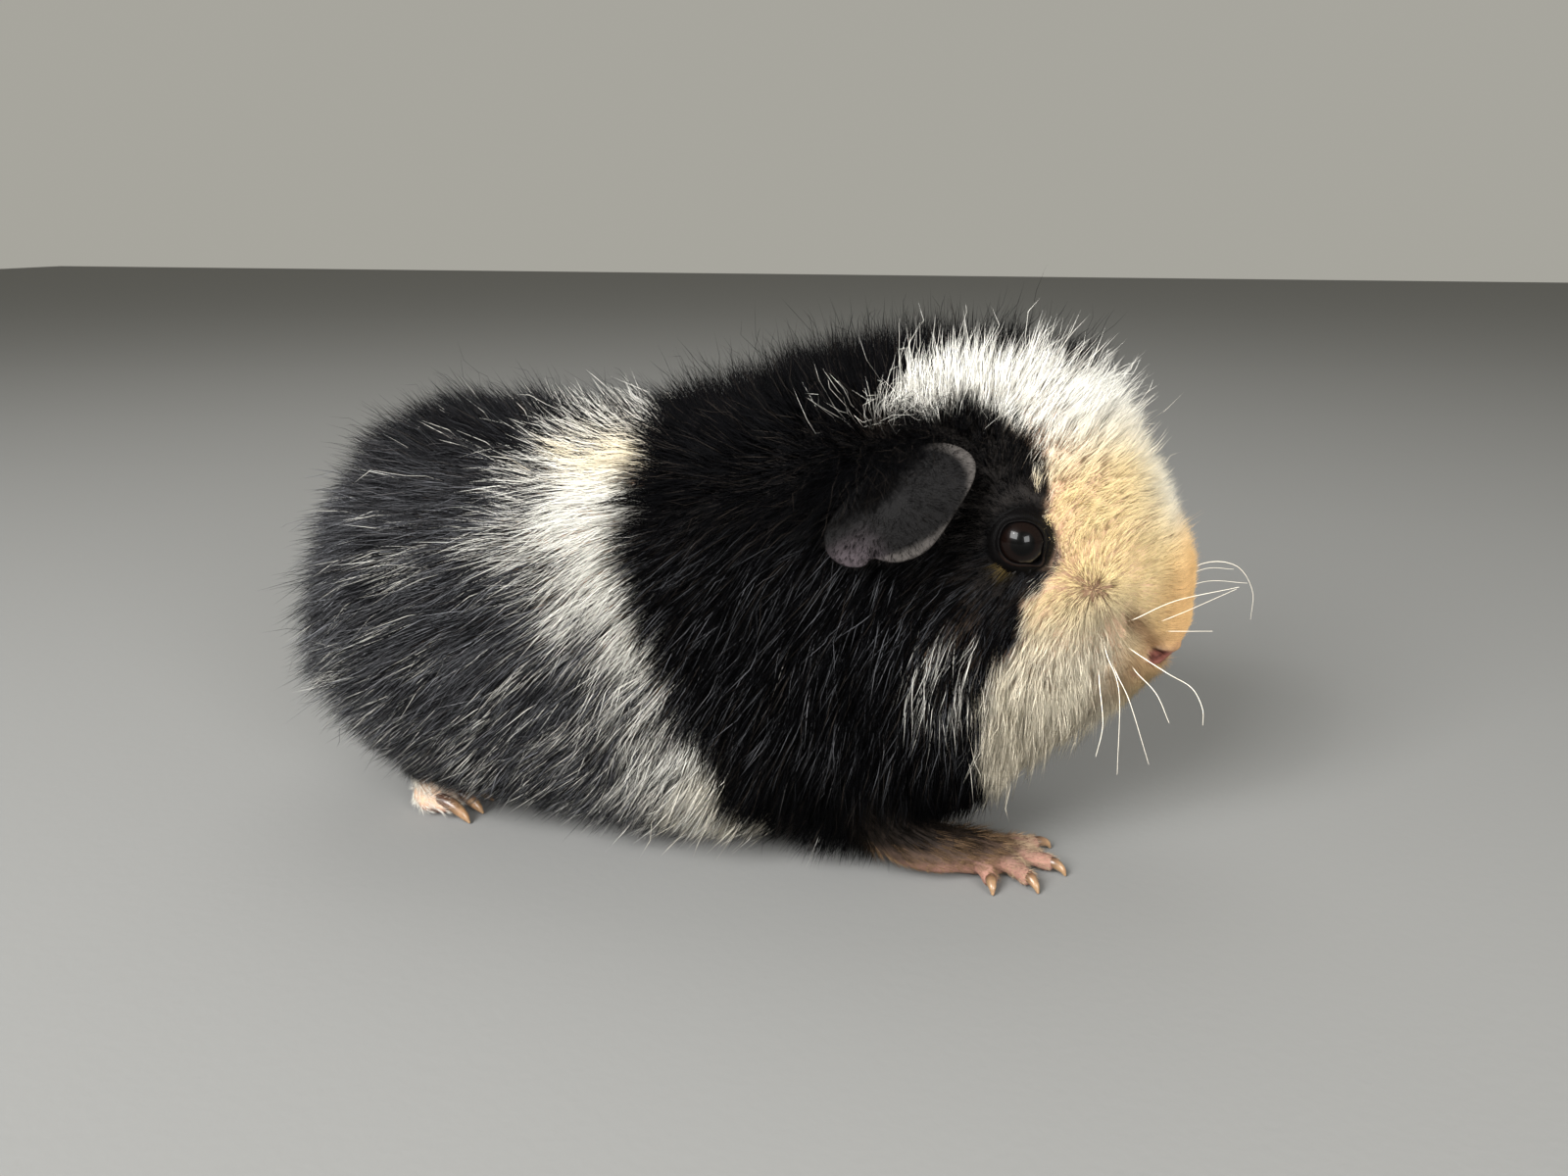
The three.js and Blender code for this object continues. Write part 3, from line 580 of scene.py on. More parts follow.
# root, end and claw tip of each toe on the floor plan, and its half width
FORE_TOES = [([60.4, -16.3], [67.4, -10.4], [71.2, -8.6], 2.2),
             ([62.0, -19.4], [71.2, -19.6], [75.2, -21.2], 2.5),
             ([60.8, -23.6], [66.8, -27.4], [69.6, -30.6], 2.5),
             ([56.2, -26.0], [58.9, -29.9], [59.9, -33.8], 2.3)]
HIND_TOES = [([-81.2, -20.2], [-76.4, -18.6], [-69.4, -17.6], 2.5),
             ([-81.0, -24.2], [-75.4, -24.0], [-68.6, -24.8], 2.7),
             ([-81.4, -28.0], [-76.4, -28.9], [-69.4, -30.4], 2.5)]
HIND_LIFT = 1.4                           # the hind toes' ends are bent up off the floor
FOOT_VOXEL = 0.00046                      # metres
# a toe's girth: share of the way along it, rise of its middle, and share of its half width
TOE_MARKS = [(0, 1.3, 1.02), (0.32, 1.6, 0.94), (0.52, 1.25, 0.9), (0.78, 0.45, 0.76), (0.98, 0.0, 0.8)]


def on_side(stations, side, step):
    """Right-hand stations put on a side: y turned over for the left, x moved along the stride."""
    return [[x + step[side], y * -side, *rest] for x, y, *rest in stations]


def toe_stations(root, end, width, lift):
    """A toe's path: thick at the root, a knuckle halfway, narrow before the pad, a round pad. lift
    is how far its end is bent up off the floor."""
    root, end = np.array(root), np.array(end)
    return [[*(root + t * (end - root)), width * 0.92 + rise + lift * t, width * size]
            for t, rise, size in TOE_MARKS]


def joined(name, pieces):
    """The pieces joined into the first of them, under a new name."""
    bpy.ops.object.select_all(action="DESELECT")
    for piece in pieces:
        piece.select_set(True)
    bpy.context.view_layer.objects.active = pieces[0]
    bpy.ops.object.join()
    pieces[0].name = name
    return pieces[0]


def apply_modifiers(piece):
    """The piece's mesh as its modifiers leave it."""
    graph = bpy.context.evaluated_depsgraph_get()
    mesh = bpy.data.meshes.new_from_object(piece.evaluated_get(graph))
    piece.modifiers.clear()
    piece.data = mesh


def in_body(points):
    """The frame's metres to body millimetres, one row for each point."""
    return points.reshape(-1, 3).astype(float) * 1000 - BODY_ZERO


def values_of(items, name, wide=3):
    """The values of that name on all of a mesh's points or faces, as one flat array."""
    values = np.empty(len(items) * wide, np.float32)
    items.foreach_get(name, values)
    return values


limb_parts = []
for side in (1, -1):
    limb_parts.append(tube("forearm", on_side(FOREARM, side, FORE_STEP)))
    limb_parts.append(tube("shin", on_side(SHIN, side, HIND_STEP)))
    for step, pads, toes, lift in ((FORE_STEP, PALMS, FORE_TOES, 0),
                                   (HIND_STEP, SOLES, HIND_TOES, HIND_LIFT)):
        limb_parts += [tube("pad", on_side(pad, side, step)) for pad in pads]
        limb_parts += [tube("toe", on_side(toe_stations(root, end, width, lift), side, step))
                       for root, end, claw, width in toes]
limbs = joined("limbs", limb_parts)
remesh = limbs.modifiers.new("one surface", "REMESH")
remesh.mode = "VOXEL"
remesh.voxel_size = FOOT_VOXEL
soften = limbs.modifiers.new("soften", "SMOOTH")
soften.factor = 0.5
soften.iterations = 3
apply_modifiers(limbs)
limb_points = in_body(values_of(limbs.data.vertices, "co"))
limb_points[:, 2] = np.maximum(limb_points[:, 2], 0)      # the soles are flat on the floor
limbs.data.vertices.foreach_set("co", to_frame(limb_points).astype(np.float32).ravel())
limbs.data.update()
limb_centres = in_body(values_of(limbs.data.polygons, "center"))
limb_normals = values_of(limbs.data.polygons, "normal").reshape(-1, 3).astype(float)
limb_areas = values_of(limbs.data.polygons, "area", 1)

growths = [limbs]
for side in (1, -1):
    growths += [lid(side), ear(side), tube("ear_stub", [[x, -side * y, z, r] for x, y, z, r in EAR_STUB])]
for growth in growths:
    union = skin.modifiers.new("union", "BOOLEAN")
    union.operation = "UNION"
    union.solver = "MANIFOLD"
    union.object = growth
apply_modifiers(skin)
for growth in growths:
    bpy.data.objects.remove(growth)


# ---- Hide ---------------------------------------------------------------------------------
# Thin living skin, pinkish under white hair, slate under black, and bare pink at the nose and
# toes. The ears and lids are almost black, whatever hair stands round them.

def linear(code):
    """An sRGB hex colour as linear red, green and blue."""
    value = np.array([code >> 16 & 255, code >> 8 & 255, code & 255]) / 255
    return np.where(value <= 0.04045, value / 12.92, ((value + 0.055) / 1.055) ** 2.4)


def mix(first, second, share):
    """first where share is 0, second where it is 1."""
    share = np.asarray(share)[..., None]
    return first * (1 - share) + second * share


SKIN_PALE, SKIN_DARK = linear(0xC9A88E), linear(0x1B1918)
NOSE_LEATHER, NOSTRIL_AND_MOUTH_SHADE, NOSE_FUZZ = linear(0x8A574C), linear(0x22090A), linear(0xA87F54)
CHIN_SKIN, SKIN_CREASE_SHADE = linear(0xB89A78), linear(0x5C3822)
WHORL_SKIN, TEAR_SKIN = linear(0x7E6552), linear(0x84706A)
TEAR_PATCH = np.array([67.9, 25.2, 75.5])  # middle of the thin-haired strip before the eye
LID_SKIN, LID_LINE = linear(0x060505), linear(0x241A16)
EAR_SKIN, EAR_PALE_AND_RIM_LIGHT, EAR_LOBE = linear(0x0D0C0C), linear(0x4C4845), linear(0x453E41)
SHANK_SKIN, FOOT_SKIN, TOE_SKIN = linear(0x241E1A), linear(0x4E3F36), linear(0x906C5F)
# skin round the lines of the muzzle: the line, its colour, how strong that is, and the distances
# at which it begins and is full
SKIN_LINES = [
    (LEATHER, NOSE_LEATHER, 1.0, 3.4, 2.0),
    (MOUTH, NOSE_LEATHER, 0.8, 2.0, 1.0),
    # painted shade: the skin of the cheek crease darkened brown
    (CHEEK_CREASE, SKIN_CREASE_SHADE, 0.9, 2.4, 1.0),
    # painted shade: the nostril and the line of the mouth darkened almost black
    (NOSTRIL, NOSTRIL_AND_MOUTH_SHADE, 1.0, 2.0, 1.1),
    (MOUTH, NOSTRIL_AND_MOUTH_SHADE, 0.8, 1.0, 0.5),
]


def skin_colours(p):
    """Colour of the hide at points: the coat's markings over it all, then each bare place in turn,
    laid over by how near a point is to it."""
    white, _, _, buff = markings(p)
    colour = mix(mix(SKIN_DARK, SKIN_PALE, white), NOSE_FUZZ, buff)
    q = mirrored(p)
    colour = mix(colour, CHIN_SKIN, ease(near_line(q, MOUTH)[0], 9, 4) * ease(q[:, 2], 53, 48))
    for line, bare, most, begins, full in SKIN_LINES:
        colour = mix(colour, bare, most * ease(near_line(q, line)[0], begins, full))
    colour = mix(colour, WHORL_SKIN, ease(np.linalg.norm(q - WHORL, axis=-1), 13, 5) * white)
    colour = mix(colour, TEAR_SKIN, ease(np.linalg.norm(q - TEAR_PATCH, axis=-1), 5, 2) * white)

    # the lids, with a lighter line along the lower one's margin
    off = q - EYE
    around_eye = np.linalg.norm(off - (off @ EYE_AXIS)[:, None] * EYE_AXIS, axis=-1)
    colour = mix(colour, LID_SKIN, ease(around_eye, 9.0, 7.0) * (off @ EYE_AXIS > -2))
    below = ease(off @ EYE_UP, -1.5, -4.5)
    margin = lid_opening(np.arctan2(off @ EYE_UP, off @ EYE_FRONT)) + 0.45
    colour = mix(colour, LID_LINE, ease(np.abs(around_eye - margin), 0.35, 0.1) * below)

    # the limbs and ears, by how far out a point is from the trunk's skin
    beyond = body_distance(p) + coat_at(p)[2]
    limb = ease(beyond, 0.3, 1.5) * ease(p[:, 2], 34, 26)
    foot = mix(FOOT_SKIN, TOE_SKIN, ease(p[:, 2], 7, 3))
    foot = mix(foot, SKIN_PALE, 0.8 * ease(p[:, 2], 2, 4) * ease(p[:, 0], -66, -69))
    foot = mix(foot, SHANK_SKIN, ease(p[:, 2] - 4 * (p[:, 0] < 0), 7, 11))
    colour = mix(colour, foot, limb)
    on_ear = q * [1, -1, 1] - EAR
    along, across = on_ear @ EAR_ALONG, on_ear @ EAR_ACROSS
    share = np.hypot(along / EAR_LONG, across / EAR_SHORT)
    ear_share = ease(beyond, 0.3, 1.0) * ease(p[:, 2], 60, 66) * (q[:, 1] > 29)
    # painted rim light: the ear's rim lighter along its lower front edge
    petal = mix(EAR_SKIN, EAR_PALE_AND_RIM_LIGHT, 0.7 * ease(share, 0.91, 1.0) * ease(across + 0.6 * along, -2, 6))
    petal = mix(petal, EAR_LOBE, 0.8 * ease(along, -4, -12) * ease(across, 0, 6))
    return mix(colour, petal, ear_share * (np.linalg.norm(off, axis=-1) > 11))


def add_colours(mesh, colours):
    """Linear colours stored on the mesh's points, for its material to read."""
    layer = mesh.color_attributes.new("Col", "FLOAT_COLOR", "POINT")
    rgba = np.ones((len(colours), 4), np.float32)
    rgba[:, :3] = colours
    layer.data.foreach_set("color", rgba.ravel())


def node(material, kind, links=(), **settings):
    """Adds a node to a material. A setting is one of the node's own, or the value of the socket of
    that name; links are (socket, from node, its output)."""
    made = material.node_tree.nodes.new("ShaderNode" + kind)
    for name, value in settings.items():
        if hasattr(made, name):
            setattr(made, name, value)
        else:
            made.inputs[name.replace("_", " ")].default_value = value
    for socket, source, output in links:
        material.node_tree.links.new(source.outputs[output], made.inputs[socket])
    return made


def new_material(name):
    """An empty node material with its output node."""
    material = bpy.data.materials.new(name)
    material.use_nodes = True
    material.node_tree.nodes.clear()
    return material


def finish_material(material, links, **settings):
    """Gives the material its shader, with these links and settings, and joins that to its output."""
    node(material, "OutputMaterial", [("Surface", node(material, "BsdfPrincipled", links, **settings), 0)])


def uneven_colour(material, pattern, low, high):
    """The piece's own point colours times a share that goes from low to high with a pattern."""
    tone = node(material, "Attribute", attribute_name="Col")
    share = node(material, "MapRange", [("Value", pattern, 0)], From_Min=0.3, From_Max=0.7,
                 To_Min=low, To_Max=high)
    return node(material, "VectorMath", [(0, tone, "Color"), (1, share, 0)], operation="MULTIPLY")


# Living hide: matt and faintly moist, with pores 0.4 mm apart, finer creases over
# them, and darker pits 0.8 mm apart where hairs come out.
hide = new_material("hide")
place = node(hide, "TexCoord")
pores = node(hide, "TexVoronoi", [("Vector", place, "Object")], Scale=2500.0)
creases = node(hide, "TexNoise", [("Vector", place, "Object")], Scale=900.0, Detail=4.0)
grain = node(hide, "Math", [(0, pores, "Distance"), (1, creases, 0)], operation="ADD")
relief = node(hide, "Bump", [("Height", grain, 0)], Strength=0.5, Distance=0.00015)
blotch = node(hide, "TexNoise", [("Vector", place, "Object")], Scale=260.0, Detail=5.0, Roughness=0.65)
pits = node(hide, "TexVoronoi", [("Vector", place, "Object")], Scale=1300.0)
follicles = node(hide, "MapRange", [("Value", pits, "Distance")], From_Max=0.35, To_Min=0.5)
blotched = uneven_colour(hide, blotch, 0.72, 1.2)
speckled = node(hide, "VectorMath", [(0, blotched, 0), (1, follicles, 0)], operation="MULTIPLY")
finish_material(hide, [("Base Color", speckled, 0), ("Normal", relief, 0)],
                Roughness=0.55, Specular_IOR_Level=0.06)

add_colours(skin.data, skin_colours(in_body(values_of(skin.data.vertices, "co"))))
skin.data.materials.clear()
skin.data.materials.append(hide)
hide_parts(*[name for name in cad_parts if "claw" not in name and "eye" not in name])
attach(skin, "root")


# ---- Eyes ---------------------------------------------------------------------------------
# Dark wet balls set in the sides of the head. The cornea bulges a little in front of an almost
# black iris, so that only a brown ring shows around the pupil.

EYE_AROUND, EYE_STEPS = 72, 44
IRIS, PUPIL = 4.3, 2.3                    # radii across the eye axis
SIDE_NAMES = {1: "left", -1: "right"}
CORNEA_RISE, CORNEA_REACH = 0.3, 3.4
IRIS_FIBRES = 31
PUPIL_BLACK, IRIS_BROWN, EYE_WHITE = linear(0x010101), linear(0x0F0705), linear(0x040303)


def eyeball(side):
    """A ball of rings round the eye axis, back to front, with the cornea raised over its middle
    by exp(-(radius / reach) squared)."""
    swing = np.linspace(np.pi, 0, EYE_STEPS + 2)[1:-1, None]
    angle = np.arange(EYE_AROUND) * 2 * np.pi / EYE_AROUND
    out = EYE_RADIUS * np.sin(swing)
    rise = CORNEA_RISE * np.exp(-((out / CORNEA_REACH) ** 2)) * (swing < np.pi / 2)
    front = EYE_RADIUS * np.cos(swing) + rise
    rings = EYE + front[..., None] * EYE_AXIS + out[..., None] * (
        np.cos(angle)[:, None] * EYE_UP + np.sin(angle)[:, None] * EYE_FRONT)
    ends = np.array([EYE - EYE_RADIUS * EYE_AXIS, EYE + (EYE_RADIUS + CORNEA_RISE) * EYE_AXIS])
    return shell("eyeball_" + SIDE_NAMES[side], other_side(rings, side < 0), *(ends * [1, side, 1]))


# Wet cornea: a clear coat that is all highlight over a soft dark eye.
cornea = new_material("wet cornea")
tone = node(cornea, "Attribute", attribute_name="Col")
place = node(cornea, "TexCoord")
film = node(cornea, "TexNoise", [("Vector", place, "Object")], Scale=500.0, Detail=2.0)
wet = node(cornea, "Bump", [("Height", film, 0)], Strength=0.05, Distance=0.0001)
finish_material(cornea, [("Base Color", tone, "Color"), ("Coat Normal", wet, 0)], Roughness=0.3,
                Specular_IOR_Level=0.05, Coat_Weight=1.0, Coat_Roughness=0.02, Coat_IOR=1.2)

for side in (1, -1):
    eye = eyeball(side)
    q = in_body(values_of(eye.data.vertices, "co")) * [1, side, 1] - EYE
    out = np.linalg.norm(q - (q @ EYE_AXIS)[:, None] * EYE_AXIS, axis=-1)
    angle = np.arctan2(q @ EYE_UP, q @ EYE_FRONT)
    fibre = 0.75 + 0.25 * np.sin(angle * IRIS_FIBRES + 3 * np.sin(out * 3))
    colour = mix(PUPIL_BLACK, IRIS_BROWN * fibre[:, None], ease(out, PUPIL, PUPIL + 0.5))
    add_colours(eye.data, mix(colour, EYE_WHITE, ease(out, IRIS - 0.3, IRIS + 0.2)))
    eye.data.materials.append(cornea)
    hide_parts("eye_" + SIDE_NAMES[side])
    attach(eye, "root")


# ---- Claws --------------------------------------------------------------------------------
# Curved horn on every toe, brown and half clear at the root and pale at the blunt tip.

CLAW_ROOT, CLAW_TIP = linear(0x452E22), linear(0x8E7052)
FORE_CLAW, HIND_CLAW = 1.4, 1.8           # radii where the claw leaves the toe
HIND_ARCH = HIND_LIFT + 0.7               # how much higher a hind claw's back stands than a front one's

# Horn: layered keratin, faintly glossy, a little light passing through it, in streaks 0.9 mm apart.
claw_horn = new_material("claw horn")
place = node(claw_horn, "TexCoord")
growth = node(claw_horn, "TexNoise", [("Vector", place, "Object")], Scale=1100.0, Detail=3.0)
streaks = uneven_colour(claw_horn, growth, 0.8, 1.15)
ridge = node(claw_horn, "Bump", [("Height", growth, 0)], Strength=0.3, Distance=0.0001)
finish_material(claw_horn, [("Base Color", streaks, 0), ("Normal", ridge, 0)], Roughness=0.34,
                Subsurface_Weight=0.1, Subsurface_Scale=0.001, Coat_Weight=0.15)


def claw_stations(root, end, tip, width, size, arch):
    """A claw's path from inside the toe to its tip: it leaves as high as the toe's end, and comes
    down to the floor in an arch."""
    start = end - unit(end - root) * (1.6 + 0.8 * arch)
    marks = [(start, width * 0.95 + 1.3 * arch, size * 0.85),
             (end, width + arch, size),
             (end + (tip - end) * 0.4, width * 0.95 + 0.2 + 0.6 * arch, size * 0.9),
             (end + (tip - end) * 0.8, 1.7 + 0.15 * arch, size * 0.62),
             (tip, 0.55, 0.36)]
    return [[*at, z, radius] for at, z, radius in marks]


for side, side_name in SIDE_NAMES.items():
    for foot, step, toes, size, arch in (("fore", FORE_STEP, FORE_TOES, FORE_CLAW, 0),
                                         ("hind", HIND_STEP, HIND_TOES, HIND_CLAW, HIND_ARCH)):
        for number, (root, end, tip, width) in enumerate(toes, 1):
            root, end, tip = np.array(root), np.array(end), np.array(tip)
            stations = on_side(claw_stations(root, end, tip, width, size, arch), side, step)
            claw = tube(f"claw_{foot}_{side_name}_{number}", stations, around=16, steps=18, dome=4)
            q = in_body(values_of(claw.data.vertices, "co")) - [step[side], 0, 0]
            reach = np.linalg.norm(q[:, :2] - end * [1, -side], axis=-1) / np.linalg.norm(tip - end)
            add_colours(claw.data, mix(CLAW_ROOT, CLAW_TIP, ease(reach, 0.15, 0.95)))
            claw.data.materials.append(claw_horn)
            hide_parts(f"{foot}claw_{side_name}_{number}")
            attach(claw, "root")


# ---- Coat ---------------------------------------------------------------------------------
# Thousands of small tufts, each a few tapered strands from one place in the skin whose ends draw
# together. They overlap, follow the lie of the coat, and carry the markings root to tip.

TUFT_PATCH = 0.003                        # each tuft's share of the OFBake map, across
HAIR_BLACK, HAIR_SOOT, HAIR_GREY = linear(0x060607), linear(0x1B1B1D), linear(0x86878B)
HAIR_UMBER, HAIR_SLATE = linear(0x47403A), linear(0x66625E)
HAIR_ROOT, WHORL_ROOT = linear(0x7A6248), linear(0x4A3021)
HAIR_WHITE, HAIR_CREAM, HAIR_BUFF = linear(0xFBF8EE), linear(0xFAE2AC), linear(0xEEC084)
HAIR_TAN, HAIR_CREASE_SHADE, TEAR_YELLOW = linear(0xD2A679), linear(0x7C4A30), linear(0x726038)
TEAR_TUFT = ([57.6, 30.2, 74.2], 1.8)     # wax-yellow hairs at the rear corner of the lids
EAR_SHADE = ([48, 33, 84], [10, 12, 12])  # painted shade: the black hair darkened before and under the ear
EYE_BARE = 5.7                            # no hair grows this near the eye's axis
BARE_LINES = [(NOSTRIL, 2.2), (MOUTH, 1.1), (LEATHER, 1.7)]   # or this near these lines
HAIR_FLOOR = 0.5                          # hair stays about this far above the floor
UNDER_EAR, OVER_EAR = 1.5, 1.1            # from an ear's middle sheet to the hair under and over it

# Hair: keratin in overlapping scales, so that a single strand is almost matt and a little uneven.
hair = new_material("guard hair")
place = node(hair, "TexCoord")
scales = node(hair, "TexNoise", [("Vector", place, "Object")], Scale=700.0, Detail=3.0)
rough = node(hair, "MapRange", [("Value", scales, 0)], To_Min=0.38, To_Max=0.55)
finish_material(hair, [("Base Color", uneven_colour(hair, scales, 0.88, 1.08), 0), ("Roughness", rough, 0)],
                Specular_IOR_Level=0.02)

rng = np.random.default_rng(7)
GOLDEN = 0.6180339887                     # the golden ratio's fraction
# for each cell of the skin's grid: its area, a corner, its hair's length, and how full the coat is
closed = np.concatenate([FORM, FORM[:, :1]], 1)
wide, tall = np.diff(closed, axis=1)[:-1], np.diff(FORM, axis=0)
CELL = np.linalg.norm(wide, axis=-1) * np.linalg.norm(tall, axis=-1)
CORNER = FORM[:-1]
ROOT_LENGTH = coat_at(CORNER.reshape(-1, 3))[1].reshape(CELL.shape)
FULLNESS = 0.4 + 0.6 * ease(CORNER[..., 2], 7, 12)
slope_i = np.gradient(FORM, axis=0)
slope_j = (np.roll(FORM, -1, 1) - np.roll(FORM, 1, 1)) / 2


def scatter(count, weight):
    """Evenly spread places on the skin as row and column numbers: a golden-ratio lattice in the
    unit square, stretched so that each part of the skin gets its weight of hair."""
    k = np.arange(count)
    s = (k + rng.uniform(0.1, 0.9, count)) / count
    t = (k * GOLDEN + rng.normal(0, 0.0012, count)) % 1
    rows = np.concatenate([[0], np.cumsum(weight.sum(1))])
    i = np.interp(s, rows / rows[-1], np.arange(len(rows)))
    row = np.minimum(i.astype(int), len(weight) - 1)
    shares = np.cumsum(weight, 1) / weight.sum(1, keepdims=True)
    steps = (shares + np.arange(len(shares))[:, None]).ravel()
    found = np.minimum(np.searchsorted(steps, row + t), len(steps) - 1)
    low = np.where(found % AROUND == 0, row, steps[found - 1])
    j = found % AROUND + (row + t - low) / np.maximum(steps[found] - low, 1e-9)
    return i, j, s, t


def on_grid(grid, i, j):
    """A grid's values between its points: the mean of the four nearest, by how near each is."""
    i = np.clip(i, 0, len(grid) - 1.001)
    row, column = np.floor(i).astype(int), np.floor(j).astype(int)
    fi, fj = (i - row)[..., None], (j - column)[..., None]
    a, b = grid[row, column % AROUND], grid[row, (column + 1) % AROUND]
    c, d = grid[row + 1, column % AROUND], grid[row + 1, (column + 1) % AROUND]
    return (a * (1 - fj) + b * fj) * (1 - fi) + (c * (1 - fj) + d * fj) * fi


def strand_mesh(name, line, flat, wide, colours, patch):
    """Three-sided tapered strands along line (strand, place, xyz): a small triangle at each place
    but the last, which is a point. colours are (strand, place, rgb); patch is each strand's place
    on the OFBake map and the width of its strip there, along which it runs from root to tip."""
    count, places = line.shape[:2]
    rings = places - 1
    angle = np.radians([90, 210, 330])
    ahead = line[:, 1:] - line[:, :-1]
    side = unit(np.cross(ahead, flat[:, None]))
    out = unit(np.cross(side, ahead))
    taper = wide[:, None] / 2 * (1 - 0.25 * np.arange(rings) / rings - 0.1)
    ring = np.cos(angle)[:, None] * side[:, :, None] + np.sin(angle)[:, None] * out[:, :, None]
    points = line[:, :-1, None] + ring * taper[..., None, None]
    points = np.concatenate([points.reshape(count, -1, 3), line[:, -1:]], 1).reshape(-1, 3)
    k, after = np.arange(3), np.array([1, 2, 0])
    base = np.arange(rings - 1)[:, None] * 3
    quads = np.stack([base + k, base + after, base + after + 3, base + k + 3], -1).ravel()
    last = 3 * (rings - 1)
    tip = np.stack([last + k, last + after, np.full(3, 3 * rings)], -1).ravel()
    faces = np.concatenate([[0, 2, 1], quads, tip])
    sizes = np.array([3] + [4] * 3 * (rings - 1) + [3] * 3)
    corners = (np.arange(count)[:, None] * (3 * rings + 1) + faces).ravel()
    piece = new_mesh(name, points, corners, np.tile(sizes, count))
    add_colours(piece.data, np.repeat(colours, [3] * rings + [1], axis=1).reshape(-1, 3))
    s, t, strip = patch
    x = s[:, None] + strip * np.array([-0.35, 0.35, 0.0] * rings + [0.0])
    y = t[:, None] + TUFT_PATCH * np.repeat(np.linspace(-0.45, 0.45, places), [3] * rings + [1])
    layer = piece.data.uv_layers.new(name="OFBake")
    layer.data.foreach_set("uv", np.stack([x, y], -1).reshape(-1, 2)[corners].astype(np.float32).ravel())
    piece.data.materials.append(hair)
    return piece


def hair_colours(p, luck, tuft_luck, places):
    """Colour of each strand from root to tip. Luck, three numbers from 0 to 1 for each strand,
    decides whether a hair is white where both kinds grow, and each hair is a little lighter or
    darker than the next. Pale hair goes from white to cream, buff and tan, with painted shade
    along the cheek crease and low at the front. Dark hair is black, or soot and grey on the rump;
    some of it on the sides has a painted grey sheen, and painted shade darkens it before and under
    the ear. Every strand is darker toward its root, as painted shade. A white hair is slate or
    brown at the root beside dark ones, on the cheeks and near the whorls; on the cheeks that brown
    is painted shade between the strands."""
    white, grey, cream, buff = markings(p)
    q = mirrored(p)
    pale = mix(mix(HAIR_WHITE, HAIR_CREAM, cream), HAIR_BUFF, buff)
    x, z = q[:, 0], q[:, 2]
    by_mouth = ease(x + 0.5 * (58 - z), 84, 92) * ease(z, 60, 50) * ease(z, 34, 48)
    pale = mix(pale, HAIR_TAN, 0.7 * by_mouth)
    # painted shade: pale hair reddish brown along the cheek crease
    pale = mix(pale, HAIR_CREASE_SHADE, 0.8 * np.exp(-((near_line(q, CHEEK_CREASE)[0] / 2.6) ** 2)))
    # painted shade: pale hair darker low down at the front, on the jowl, throat and chest
    shade = 1 - 0.12 * ease(40 - z, 0, 12) * ease(x, 45, 55)
    pale = pale * (0.66 + 0.36 * luck[:, 1:2]) * shade[:, None]
    soot = mix(HAIR_SOOT, HAIR_GREY, 0.9 * luck[:, 1] ** 2.5)
    dark = mix(HAIR_BLACK, soot, grey * (0.25 + 0.65 * luck[:, 2])) * (0.7 + 0.8 * luck[:, 2:3])
    dark = mix(dark, HAIR_UMBER, 0.35 * (luck[:, 1] > 0.95))
    # painted sheen: about one dark strand in seven on the sides coloured partly grey as a highlight
    painted_sheen = (luck[:, 2] > 0.86) * ease(84 - z, 0, 16) * ease(z, 16, 34) * (1 - grey)
    painted_sheen = painted_sheen * (0.3 + 0.7 * luck[:, 1])
    dark = mix(dark, HAIR_GREY, 0.4 * painted_sheen)
    # painted shade: the black hair darker still before and under the ear
    dark = dark * (1 - 0.6 * spot(q, *EAR_SHADE))[:, None]
    dark = mix(dark, TEAR_YELLOW, spot(q, *TEAR_TUFT))
    is_white = (0.75 * luck[:, 0] + 0.25 * tuft_luck < white)[:, None, None]
    along = np.linspace(0, 1, places)[:, None]
    # painted shade: every strand darker toward its root, where the coat shades itself
    painted_root_shade = np.where(is_white, 0.56 + 0.5 * along, 0.7 + 0.6 * along)
    own = np.where(is_white[:, 0], pale, dark)[:, None] * painted_root_shade
    whorl = np.linalg.norm(q - WHORL, axis=-1)
    # on the cheeks the brown root is painted shade between the strands
    cheek = cream * (0.3 + 0.1 * ease(76 - z, 0, 8))
    brown = np.maximum(0.7 * ease(whorl, 10, 4) * luck[:, 2], cheek)
    brown = np.maximum(brown, ease(white, 0.98, 0.7))
    rooted = (1 - ease(along[:, 0], 0.1, 0.7)) * brown[:, None] * is_white[..., 0]
    at_root = mix(mix(HAIR_SLATE, HAIR_ROOT, ease(x, 48, 60)), WHORL_ROOT, ease(whorl, 12, 6))
    return np.clip(mix(own, at_root[:, None], rooted), 0, 0.97)


def bare_at(root):
    """Whether no hair grows at points: on the lids, the nose leather and the lips."""
    q = mirrored(root)
    off_eye = q - EYE
    eye_gap = np.linalg.norm(off_eye - (off_eye @ EYE_AXIS)[..., None] * EYE_AXIS, axis=-1)
    bare = (eye_gap < EYE_BARE) & (q[..., 1] > 20)
    for line, gap in BARE_LINES:
        bare |= near_line(q, line)[0] < gap
    return bare


